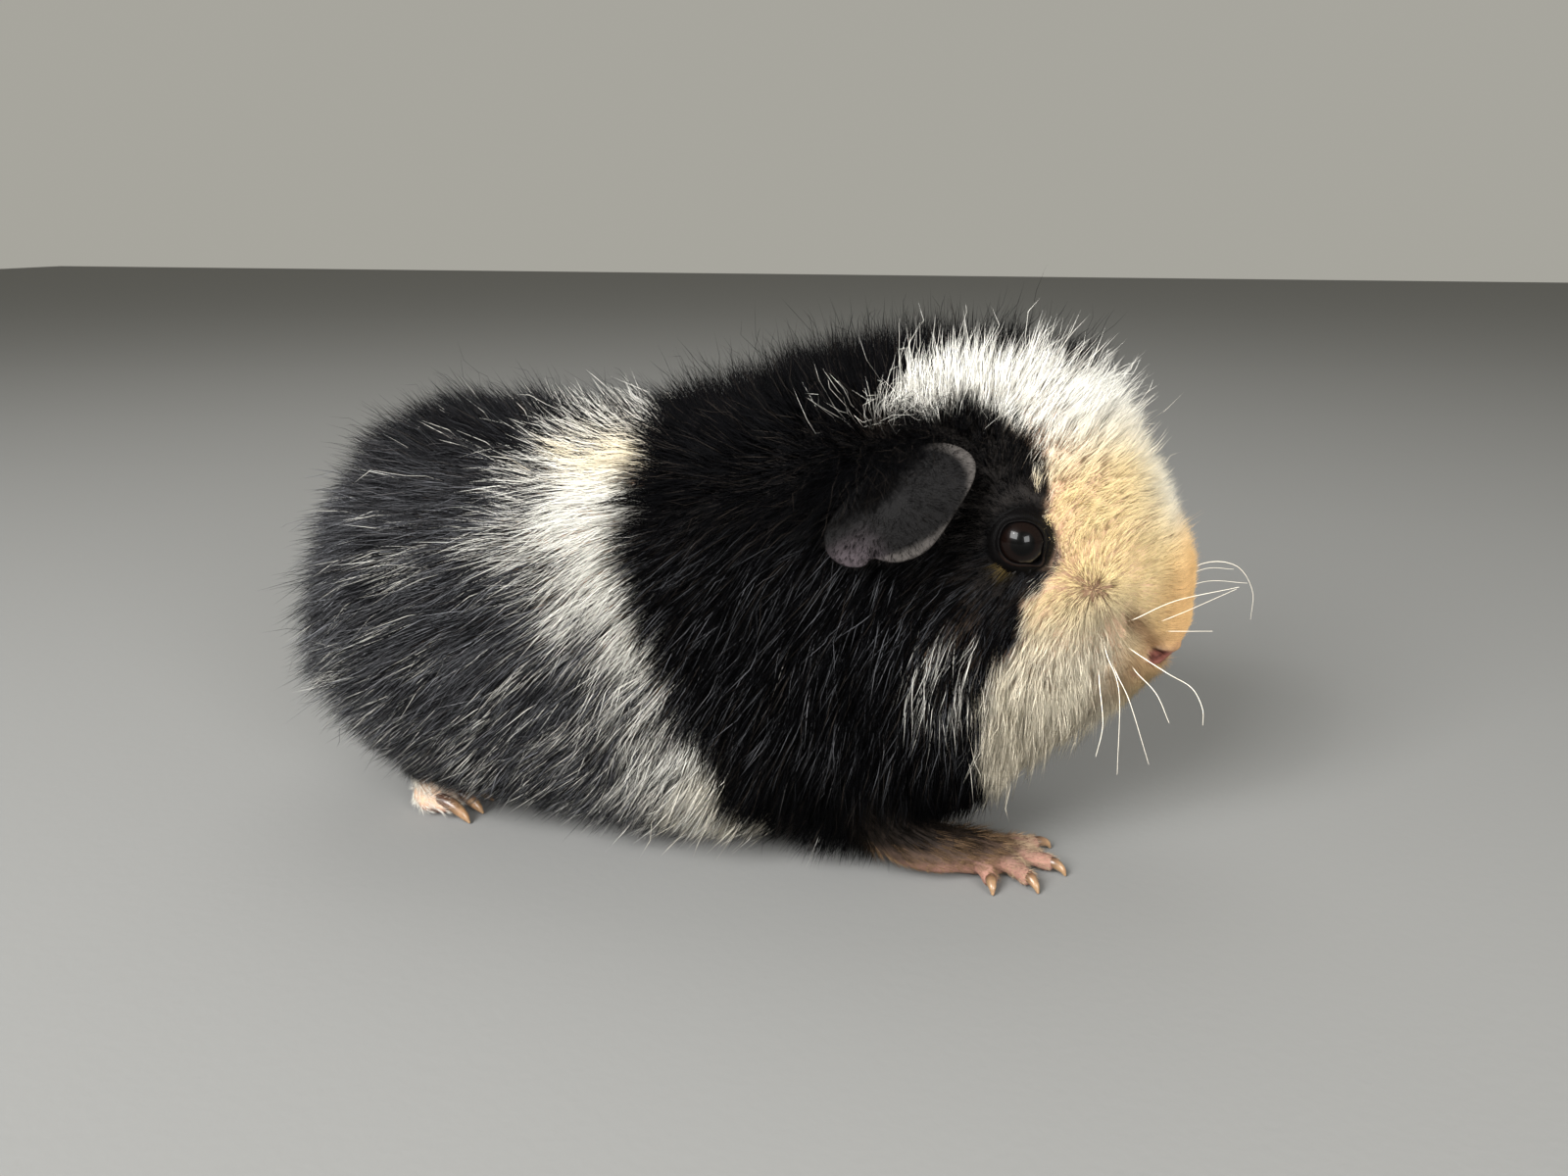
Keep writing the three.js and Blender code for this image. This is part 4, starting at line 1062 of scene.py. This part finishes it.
def clear(points, root):
    """Points of hair kept above the floor, and kept off the ears: hair from under an ear stays
    beneath it, and hair rooted above its upper edge falls over its outer face."""
    side = np.where(points[..., 1:2] > 0, -1.0, 1.0) * [0, 1, 0] + [1, 0, 1]
    q = points * side - EAR
    a, b, inward = q @ EAR_ALONG, q @ EAR_ACROSS, q @ EAR_INWARD
    share = np.sqrt((a / EAR_LONG) ** 2 + (b / EAR_SHORT) ** 2)
    cup = EAR_CUP * (share ** 2 * (0.6 + 0.4 * b / (EAR_SHORT * np.maximum(share, 0.05))) - 0.4)
    above = ((root * side - EAR) @ EAR_ACROSS) < -EAR_SHORT * 0.75
    over, under = cup - OVER_EAR - inward, cup + UNDER_EAR - inward
    push = np.where(above, np.minimum(over, 0), np.maximum(under, 0))
    points = points + (push * ease(share, 1.3, 1.05))[..., None] * EAR_INWARD * side
    lift = points[..., 2] - HAIR_FLOOR
    points[..., 2] = HAIR_FLOOR + 0.5 * (lift + np.sqrt(lift ** 2 + 1))
    return points


def strand_lines(root, normal, lie, length, depth, places, draw, curl=0.0, clearing=clear):
    """The path of every strand, (tuft, strand, place, xyz): sunk at the root, rising first, more
    so where the hair is long, and then lying down. At part t of the way it is root + length
    (first (t - t t / 2) + last 0.56 t t), drawn toward the tuft's mean by draw t t. A curl adds a
    helix whose radius is curl t length."""
    shape = length.shape
    rise = (0.2 + 0.35 * ease(length, 3, 9))[..., None]
    first, last = unit(lie + normal * rise), unit(lie - normal * 0.12 + [0, 0, -0.06])
    draw = (rng.uniform(0.1, draw, shape[0]) * ease(length.mean(1), 2, 9))[:, None, None]
    side = unit(np.cross(lie, normal))
    phase = rng.uniform(0, 2 * np.pi, shape)
    turns = rng.uniform(2.5, 6.5, shape)
    line = [root - normal * np.minimum(0.8, 0.3 * depth)[..., None]]
    for part in np.linspace(0, 1, places)[1:]:
        point = root + (first * (part - 0.5 * part ** 2) + last * 0.56 * part ** 2) * length[..., None]
        pull = draw * part ** 2
        point = point * (1 - pull) + point.mean(1, keepdims=True) * pull
        if part < 1:
            point = point + rng.normal(0, 0.03, shape + (3,)) * length[..., None]
        swing = (curl * part * length)[..., None]
        angle = (phase + turns * part)[..., None]
        point = point + swing * (np.cos(angle) * side + np.sin(angle) * normal)
        line.append(clearing(point, root))
    return np.stack(line, -2)


def lay(layer, names, line, normal, width, colour, s, t, keep):
    """Makes a layer's pieces, each with an equal run of its tufts. Strands of one tuft share its
    patch of the OFBake map in strips side by side. Only the strands marked in keep are made."""
    strands = line.shape[1]
    strip = TUFT_PATCH / strands
    patch_s = s[:, None] + (np.arange(strands) - (strands - 1) / 2) * strip
    patch_t = np.repeat(t[:, None], strands, 1)
    for name, part in zip(names, np.array_split(np.arange(len(line)), len(names))):
        kept = keep[part].ravel()
        cut = [values[part].reshape((len(kept),) + values.shape[2:])[kept]
               for values in (line, normal, width, colour, patch_s, patch_t)]
        piece = strand_mesh(f"coat_{layer}_{name}", *cut[:4], (cut[4], cut[5], strip))
        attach(piece, "root")


# how locks of hair lean: their size in mm, how far they lean, and the seeds of x, y and z
LOCKS = [(11, 0.11, (21, 22, 23)), (4.5, 0.08, (24, 25, 26))]


def grow(layer, names, tufts, strands, weight, wide, places, scale, draw, curl=0.0):
    """One layer of the body's coat. Tufts are scattered by weight; their strands are rooted around
    them, and lean with the lie and with smooth noise that gathers the hair in locks. Strands are
    scale times the coat's length there, and wide is their width: its share of the length, least
    and most."""
    i, j, s, t = scatter(tufts, weight)
    shape = (tufts, strands)
    share = on_grid((weight / CELL)[..., None], np.minimum(i, len(CELL) - 2), j)[..., 0]
    spread = 0.62 * np.sqrt(weight.sum() / (tufts * np.maximum(share, 0.05)))
    turn, off = rng.uniform(0, 2 * np.pi, shape), spread[:, None] * np.sqrt(rng.uniform(0, 1, shape))
    di = off * np.cos(turn) / np.maximum(np.linalg.norm(on_grid(slope_i, i, j), axis=-1), 0.1)[:, None]
    dj = off * np.sin(turn) / np.maximum(np.linalg.norm(on_grid(slope_j, i, j), axis=-1), 0.1)[:, None]
    root = on_grid(FORM, i[:, None] + di, j[:, None] + dj)
    normal = unit(on_grid(NORMALS, i[:, None] + di, j[:, None] + dj))
    lie, length, depth = coat_at(root)
    sway = sum(np.stack([mottle(root, size, seed) for seed in seeds], -1) * most
               for size, most, seeds in LOCKS)
    sway += rng.normal(0, 0.08, (tufts, 1, 3)) + rng.normal(0, 0.14, shape + (3,))
    lie = unit(lie + sway)
    lie = unit(lie + normal * np.maximum(0.14 - (lie * normal).sum(-1, keepdims=True), 0))
    length = length * scale * rng.normal(1, 0.09, (tufts, 1)) * rng.uniform(0.75, 1.12, shape)
    length *= 1 + 0.3 * (rng.uniform(size=shape) > 0.97)
    line = strand_lines(root, normal, lie, length, depth, places, draw, curl)
    width = np.clip(wide[0] * length, wide[1], wide[2]) * rng.uniform(0.75, 1.25, shape)
    luck = rng.uniform(size=shape + (3,)).reshape(-1, 3)
    tuft_luck = np.repeat(rng.uniform(size=tufts), strands)
    shown = root * 0.35 + line[..., -1, :] * 0.65
    colour = hair_colours(shown.reshape(-1, 3), luck, tuft_luck, places).reshape(shape + (places, 3))
    lay(layer, names, line, normal, width, colour, s, t, ~bare_at(root))


# Long guard hairs, a short dense under coat that is finest where hair is short and thickest round
# the whorls, loose strays along the back, curls over the ears, and soft wisps on the brow.
high, left_corner = CORNER[..., 2], mirrored(CORNER)
finest = np.clip(13.0 / ROOT_LENGTH, 0.85, 4.6) ** 1.9
round_whorl = 1 + 1.5 * ease(np.linalg.norm(left_corner - WHORL, axis=-1), 9, 3)
guard = CELL * FULLNESS * ease(ROOT_LENGTH, 5, 10)
under = CELL * FULLNESS * finest * round_whorl
stray = CELL * FULLNESS * ease(ROOT_LENGTH, 8, 11) * (0.2 + 1.5 * ease(high, 70, 96))
fringe = CELL * spot(left_corner, [31, 31, 100], [12, 9, 7])
brow = CELL * spot(left_corner, [72, 0, 106], [15, 14, 11]) * ease(high, 118, 110)

# layer, its pieces, tufts, strands in each, weight, width; then places, scale, draw and curl
grow("guard", ["rump", "loin", "flank", "shoulder", "neck"], 9100, 7, guard, (0.016, 0.11, 0.22),
     3, 1.05, 0.3, 0.04)
grow("under", ["rump", "shoulder", "crown", "cheek", "muzzle"], 20600, 8, under, (0.022, 0.125, 0.22),
     2, 0.9, 0.3)
grow("stray", ["all"], 2200, 1, stray, (0.007, 0.085, 0.12), 6, 1.3, 0.1, 0.1)
grow("fringe", ["ears"], 900, 3, fringe, (0.007, 0.075, 0.105), 5, 1.5, 0.1, 0.18)
grow("wisp", ["brow"], 420, 1, brow, (0.008, 0.08, 0.12), 5, 1.35, 0.1, 0.08)


# ---- Hair of the legs and ears ------------------------------------------------------------
# The legs wear a close dark sleeve down to the wrist, thin pale hair on the toes and a white
# tuft over the hind feet. The ears have a velvet of fine short hairs, and longer black ones over
# their upper rear part.

LEG_TUFTS, LEG_STRANDS, LEG_HAIR_WIDTH = 5200, 4, 0.13
LEG_WHITE, LEG_BROWN, LEG_DARK = linear(0xF4EEE0), linear(0x866C52), linear(0x15120F)
LEG_GREY, LEG_PALE = linear(0x39393A), linear(0xBFA78C)
HIND_INSTEP = -79.0                       # the hair of the right hind foot is longest here
BEYOND = 300                              # more than the animal's length
EAR_TUFTS, EAR_STRANDS, EAR_HAIR_WIDTH = 3200, 3, 0.1
EAR_OUTSIDE = 0.65                        # share of the ear's hair that grows on its outer face


def own_places(along, around):
    """Places on the OFBake map in step with those on the limb: the tufts are ranked along it into
    rows, and within each row around it, so that no two share a place."""
    rows = int(np.sqrt(len(along)))
    row = np.argsort(np.argsort(along)) * rows // len(along)
    rank = np.empty(len(along), int)
    rank[np.lexsort((around, row))] = np.arange(len(along))
    return (row + 0.5) / rows, (rank - np.searchsorted(np.sort(row), row) + 0.5) / np.bincount(row)[row]


def brush(layer, root, normal, lie, length, width, colour, place, keep, clearing=clear):
    """Short straight hair from roots (tuft, xyz): each tuft's strands start about a third of a
    millimetre apart and lean along its lie, a little off the skin."""
    shape = length.shape
    normals = np.repeat(normal[:, None], shape[1], 1)
    jitter = rng.normal(0, 0.35, shape + (3,))
    jitter -= normals * (jitter * normals).sum(-1, keepdims=True)
    lie = unit(lie[:, None] + normals * 0.3 + rng.normal(0, 0.14, shape + (3,)))
    line = strand_lines(root[:, None] + jitter, normals, lie, length, 0.8 + 0 * length, 2, 0.3, 0.0, clearing)
    # random tone for each strand, with painted shade: its root darker than its tip
    shade = rng.uniform(0.7, 1.2, shape)[..., None, None] * np.array([0.75, 1.1])[:, None]
    colour = np.clip(colour[:, None, None] * shade, 0, 0.95)
    keep = np.repeat(keep[:, None], shape[1], 1)
    lay(layer, ["all"], line, normals, width + 0 * length, colour, *place, keep)


# The legs' tufts: most on the feet, none up under the coat, and fewer on the toes. On the map the
# left legs' places come after the right ones'.
x, z = limb_centres[:, 0], limb_centres[:, 2]
leg_share = limb_areas * ease(z, 28, 20)
leg_share *= 1 + 2.0 * (x < -64) * ease(z, 1, 4)
leg_share *= 1 + 1.5 * (x > 50) * ease(z, 1, 4) * ease(z, 12, 9)
pick = rng.choice(len(limb_centres), LEG_TUFTS, p=leg_share / leg_share.sum())
root, normal = limb_centres[pick], limb_normals[pick]
x, y, z = root.T
fore, high = x > 0, ease(z, 6, 15)
lie = mix(np.array([1, 0, -0.15]), np.where(fore[:, None], [0.75, 0, -0.5], [0.2, 0, -0.9]), high)
lie = unit(lie - normal * (lie * normal).sum(-1, keepdims=True))
fore_length = 1.8 + 1.8 * ease(z, 3.5, 7) + 4.5 * high
length = np.where(fore, fore_length, 2.6 + 3.0 * ease(z, 13, 18))
from_instep = np.abs(x - HIND_INSTEP - HIND_STEP[1] * (y > 0))
length += ease(from_instep, 6, 3) * ease(z, 2, 4) * ease(z, 11, 9)
length = length[:, None] * rng.uniform(0.7, 1.15, (LEG_TUFTS, LEG_STRANDS))
sleeve = mix(LEG_BROWN, LEG_DARK, ease(z + 3 * rng.uniform(-1, 1, LEG_TUFTS), 7, 11))
sleeve = mix(sleeve, LEG_PALE, 0.7 * ease(x, 59, 66))
stocking = mix(LEG_WHITE, LEG_BROWN, 0.4 * rng.uniform(size=LEG_TUFTS) ** 3)
stocking = mix(stocking, LEG_GREY, ease(z + 1.5 * rng.uniform(-1, 1, LEG_TUFTS), 11, 13.5))
keep = rng.uniform(size=LEG_TUFTS) < 0.7 + ease(z, 2, 5) + 0.3 * (x < -70)
keep &= (z > 0.7) & (body_distance(root) + coat_at(root)[2] > -1.5)
brush("leg", root, normal, lie, length, LEG_HAIR_WIDTH, np.where(fore[:, None], sleeve, stocking),
      own_places(x + BEYOND * (y > 0), np.arctan2(normal[:, 1], normal[:, 2])), keep)

# The ears' tufts, placed on the right ear and turned over for the left.
share = np.sqrt(rng.uniform(0.02, 0.99, EAR_TUFTS))
angle = rng.uniform(0, 2 * np.pi, EAR_TUFTS)
face = np.where(rng.uniform(size=EAR_TUFTS) < EAR_OUTSIDE, -1.0, 1.0)
side = np.where(rng.uniform(size=EAR_TUFTS) < 0.5, 1.0, -1.0)
turned = side[:, None] * [0, 1, 0] + [1, 0, 1]
lift = face * (EAR_RIM + (EAR_THICK - EAR_RIM) * (1 - share ** 2))
root = ear_point(share, angle, lift)
over = ease(-((root - EAR) @ EAR_ACROSS) / EAR_SHORT, 0.15, 0.6) * (face < 0)
over *= ease(((root - EAR) @ EAR_ALONG) / EAR_LONG, 0.5, -0.1)
outward = unit(ear_point(share + 0.05, angle, lift) - root)
lie = outward * (1 - over[:, None]) + (0.5 + over[:, None]) * EAR_ACROSS
length = rng.uniform(1.0, 2.2, (EAR_TUFTS, EAR_STRANDS)) * (1 + 3 * over[:, None])
# a few ear hairs pale at random, in the same colour as the ear's painted rim light
colour = mix(EAR_SKIN, EAR_PALE_AND_RIM_LIGHT, 0.45 * rng.uniform(size=EAR_TUFTS) ** 5 * (1 - over))
brush("ear", root * turned, unit(face[:, None] * EAR_INWARD) * turned, unit(lie) * turned, length,
      EAR_HAIR_WIDTH, colour, own_places(share + 2 * face + 4 * side, angle), share > 0.1,
      lambda points, roots: points)


# ---- Whiskers -----------------------------------------------------------------------------
# Stiff tapered white hairs from the upper lip and cheek, the longest bent over by their own
# weight. Their places are listed one by one.

WHISKER_ROOT, WHISKER_TIP = 0.13, 0.035   # radii
WHISKER_IVORY = linear(0xF4EBD8)
# points in body millimetres, and the side they grow from (-1 is the right)
WHISKERS = [
    (-1, [[86.3, 15, 61], [94, 19, 66.8], [105.7, 24, 72.1]]),
    (-1, [[91.7, 11, 59.5], [96.5, 15, 63.4], [105.5, 22, 71.1]]),
    (-1, [[92.4, 10, 57], [102.2, 16, 59.7]]),
    (-1, [[86.5, 15, 53.4], [93.5, 20, 50.8], [98.4, 24, 49.4], [100.7, 27, 46.1], [101, 28, 42.8]]),
    (-1, [[87.8, 14, 47.9], [91.8, 18, 45.1], [94.8, 21, 39.8]]),
    (-1, [[80.9, 19, 53.1], [83.8, 24, 46.7], [84.6, 28, 29.7]]),
    (-1, [[83.3, 17, 48.3], [86.3, 21, 43.7], [91.1, 25, 31.4]]),
    (-1, [[79.7, 20, 46.6], [80.9, 24, 39.1], [79.9, 27, 32.9]]),
    (1, [[92.6, 9, 61.6], [101.6, 13, 67], [109.5, 17, 65.8], [114, 20, 59.1], [114.4, 21, 51.7]]),
    (1, [[91.5, 9, 60.4], [101.5, 13, 65.5], [108.9, 17, 65]]),
    (1, [[92.7, 9, 58.9], [102.3, 13, 62.6], [112.3, 17, 61.8]]),
    (1, [[86, 15, 55], [92.5, 22, 52.8], [96.6, 28, 49], [98, 31, 43]]),
    (1, [[88, 13, 49.6], [92, 19, 45.1], [93.6, 23, 38.8]]),
    (1, [[81.5, 18.5, 52], [84.5, 25, 45.7], [85.2, 29, 33]]),
    (1, [[83, 17, 48], [87, 22, 42.7], [89, 26, 34.4]]),
    (1, [[79, 20, 47], [80, 25, 40.1], [78, 28, 34.9]]),
]

# Vibrissa: the same horn as hair, smooth and near white, with a faint cloudiness.
vibrissa = new_material("whisker keratin")
place = node(vibrissa, "TexCoord")
clouds = node(vibrissa, "TexNoise", [("Vector", place, "Object")], Scale=300.0, Detail=2.0)
ivory = node(vibrissa, "MapRange", [("Value", clouds, 0)], From_Min=0.3, From_Max=0.7,
             To_Min=0.9, To_Max=1.05)
tinted = node(vibrissa, "VectorMath", [(0, ivory, 0)], operation="MULTIPLY")
tinted.inputs[1].default_value = WHISKER_IVORY
finish_material(vibrissa, [("Base Color", tinted, 0)], Roughness=0.32)

for side, side_name in SIDE_NAMES.items():
    made = []
    for grown_from, points in WHISKERS:
        if grown_from == side:
            root, second = np.array(points[0]), np.array(points[1])
            path = [root - 3 * unit(second - root) - [0, 1.5, 0], *points]
            radii = np.linspace(WHISKER_ROOT, WHISKER_TIP, len(path))
            stations = [[x, y * side, z, r] for (x, y, z), r in zip(path, radii)]
            made.append(tube("whisker", stations, around=6, steps=24, dome=2))
    whiskers = joined(f"whiskers_{side_name}", made)
    whiskers.data.materials.clear()
    whiskers.data.materials.append(vibrissa)
    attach(whiskers, "root")


# ---- Floor, light and camera --------------------------------------------------------------
# A plain pale floor in soft light from a wide window in front and to the left, with a doorway to
# the right and a ceiling over the far side.

FLOOR = 3.0                               # half the floor's width, in metres
floor_mesh = bpy.data.meshes.new("floor")
floor_mesh.from_pydata([(-FLOOR, -FLOOR, 0), (FLOOR, -FLOOR, 0), (FLOOR, FLOOR, 0), (-FLOOR, FLOOR, 0)],
                       [], [(0, 1, 2, 3)])
floor = bpy.data.objects.new("floor", floor_mesh)
bpy.context.scene.collection.objects.link(floor)
paper = new_material("matt paper")
place = node(paper, "TexCoord")
fibre = node(paper, "TexNoise", [("Vector", place, "Object")], Scale=400.0, Detail=4.0)
press = node(paper, "Bump", [("Height", fibre, 0)], Strength=0.2, Distance=0.0003)
finish_material(paper, [("Normal", press, 0)], Base_Color=(*linear(0x7A7A78), 1), Roughness=0.9,
                Specular_IOR_Level=0.2)
floor.data.materials.append(paper)


def aimed(item, name, place, target):
    """A light or camera in the scene at place, turned to look at target."""
    thing = bpy.data.objects.new(name, item)
    bpy.context.scene.collection.objects.link(thing)
    thing.location = Vector(place)
    thing.rotation_euler = (Vector(target) - Vector(place)).to_track_quat("-Z", "Y").to_euler()
    return thing


# place and width in metres, power in watts; the pane is small, for the spark in the eye
LIGHTS = [("window", (-0.4, -0.9, 0.72), 0.6, 29), ("doorway", (0.72, -0.85, 0.45), 0.5, 15),
          ("ceiling", (-0.2, 0.5, 1.1), 0.8, 4), ("pane", (-0.4, -0.8, 0.85), 0.07, 1.6)]
LIT_SPOT = (0.01, 0, 0.05)
for name, place, width, power in LIGHTS:
    lamp = bpy.data.lights.new(name, "AREA")
    lamp.size = width
    lamp.energy = power
    aimed(lamp, name, place, LIT_SPOT)

world = bpy.data.worlds.new("room")
bpy.context.scene.world = world
world.use_nodes = True
sky = world.node_tree.nodes["Background"]
sky.inputs["Color"].default_value = (*linear(0xB9B7AE), 1)
sky.inputs["Strength"].default_value = 0.8

VIEW_ANGLE = 64                           # degrees across
EYE_POINT, LOOK_POINT = [74.91, -285.61, 144.89], [3.7, 0, 57.7]   # body millimetres
lens = bpy.data.cameras.new("camera")
lens.angle = np.radians(VIEW_ANGLE)
camera = aimed(lens, "camera", to_frame(EYE_POINT), to_frame(LOOK_POINT))
bpy.context.scene.camera = camera
bpy.context.scene.view_settings.view_transform = "Standard"
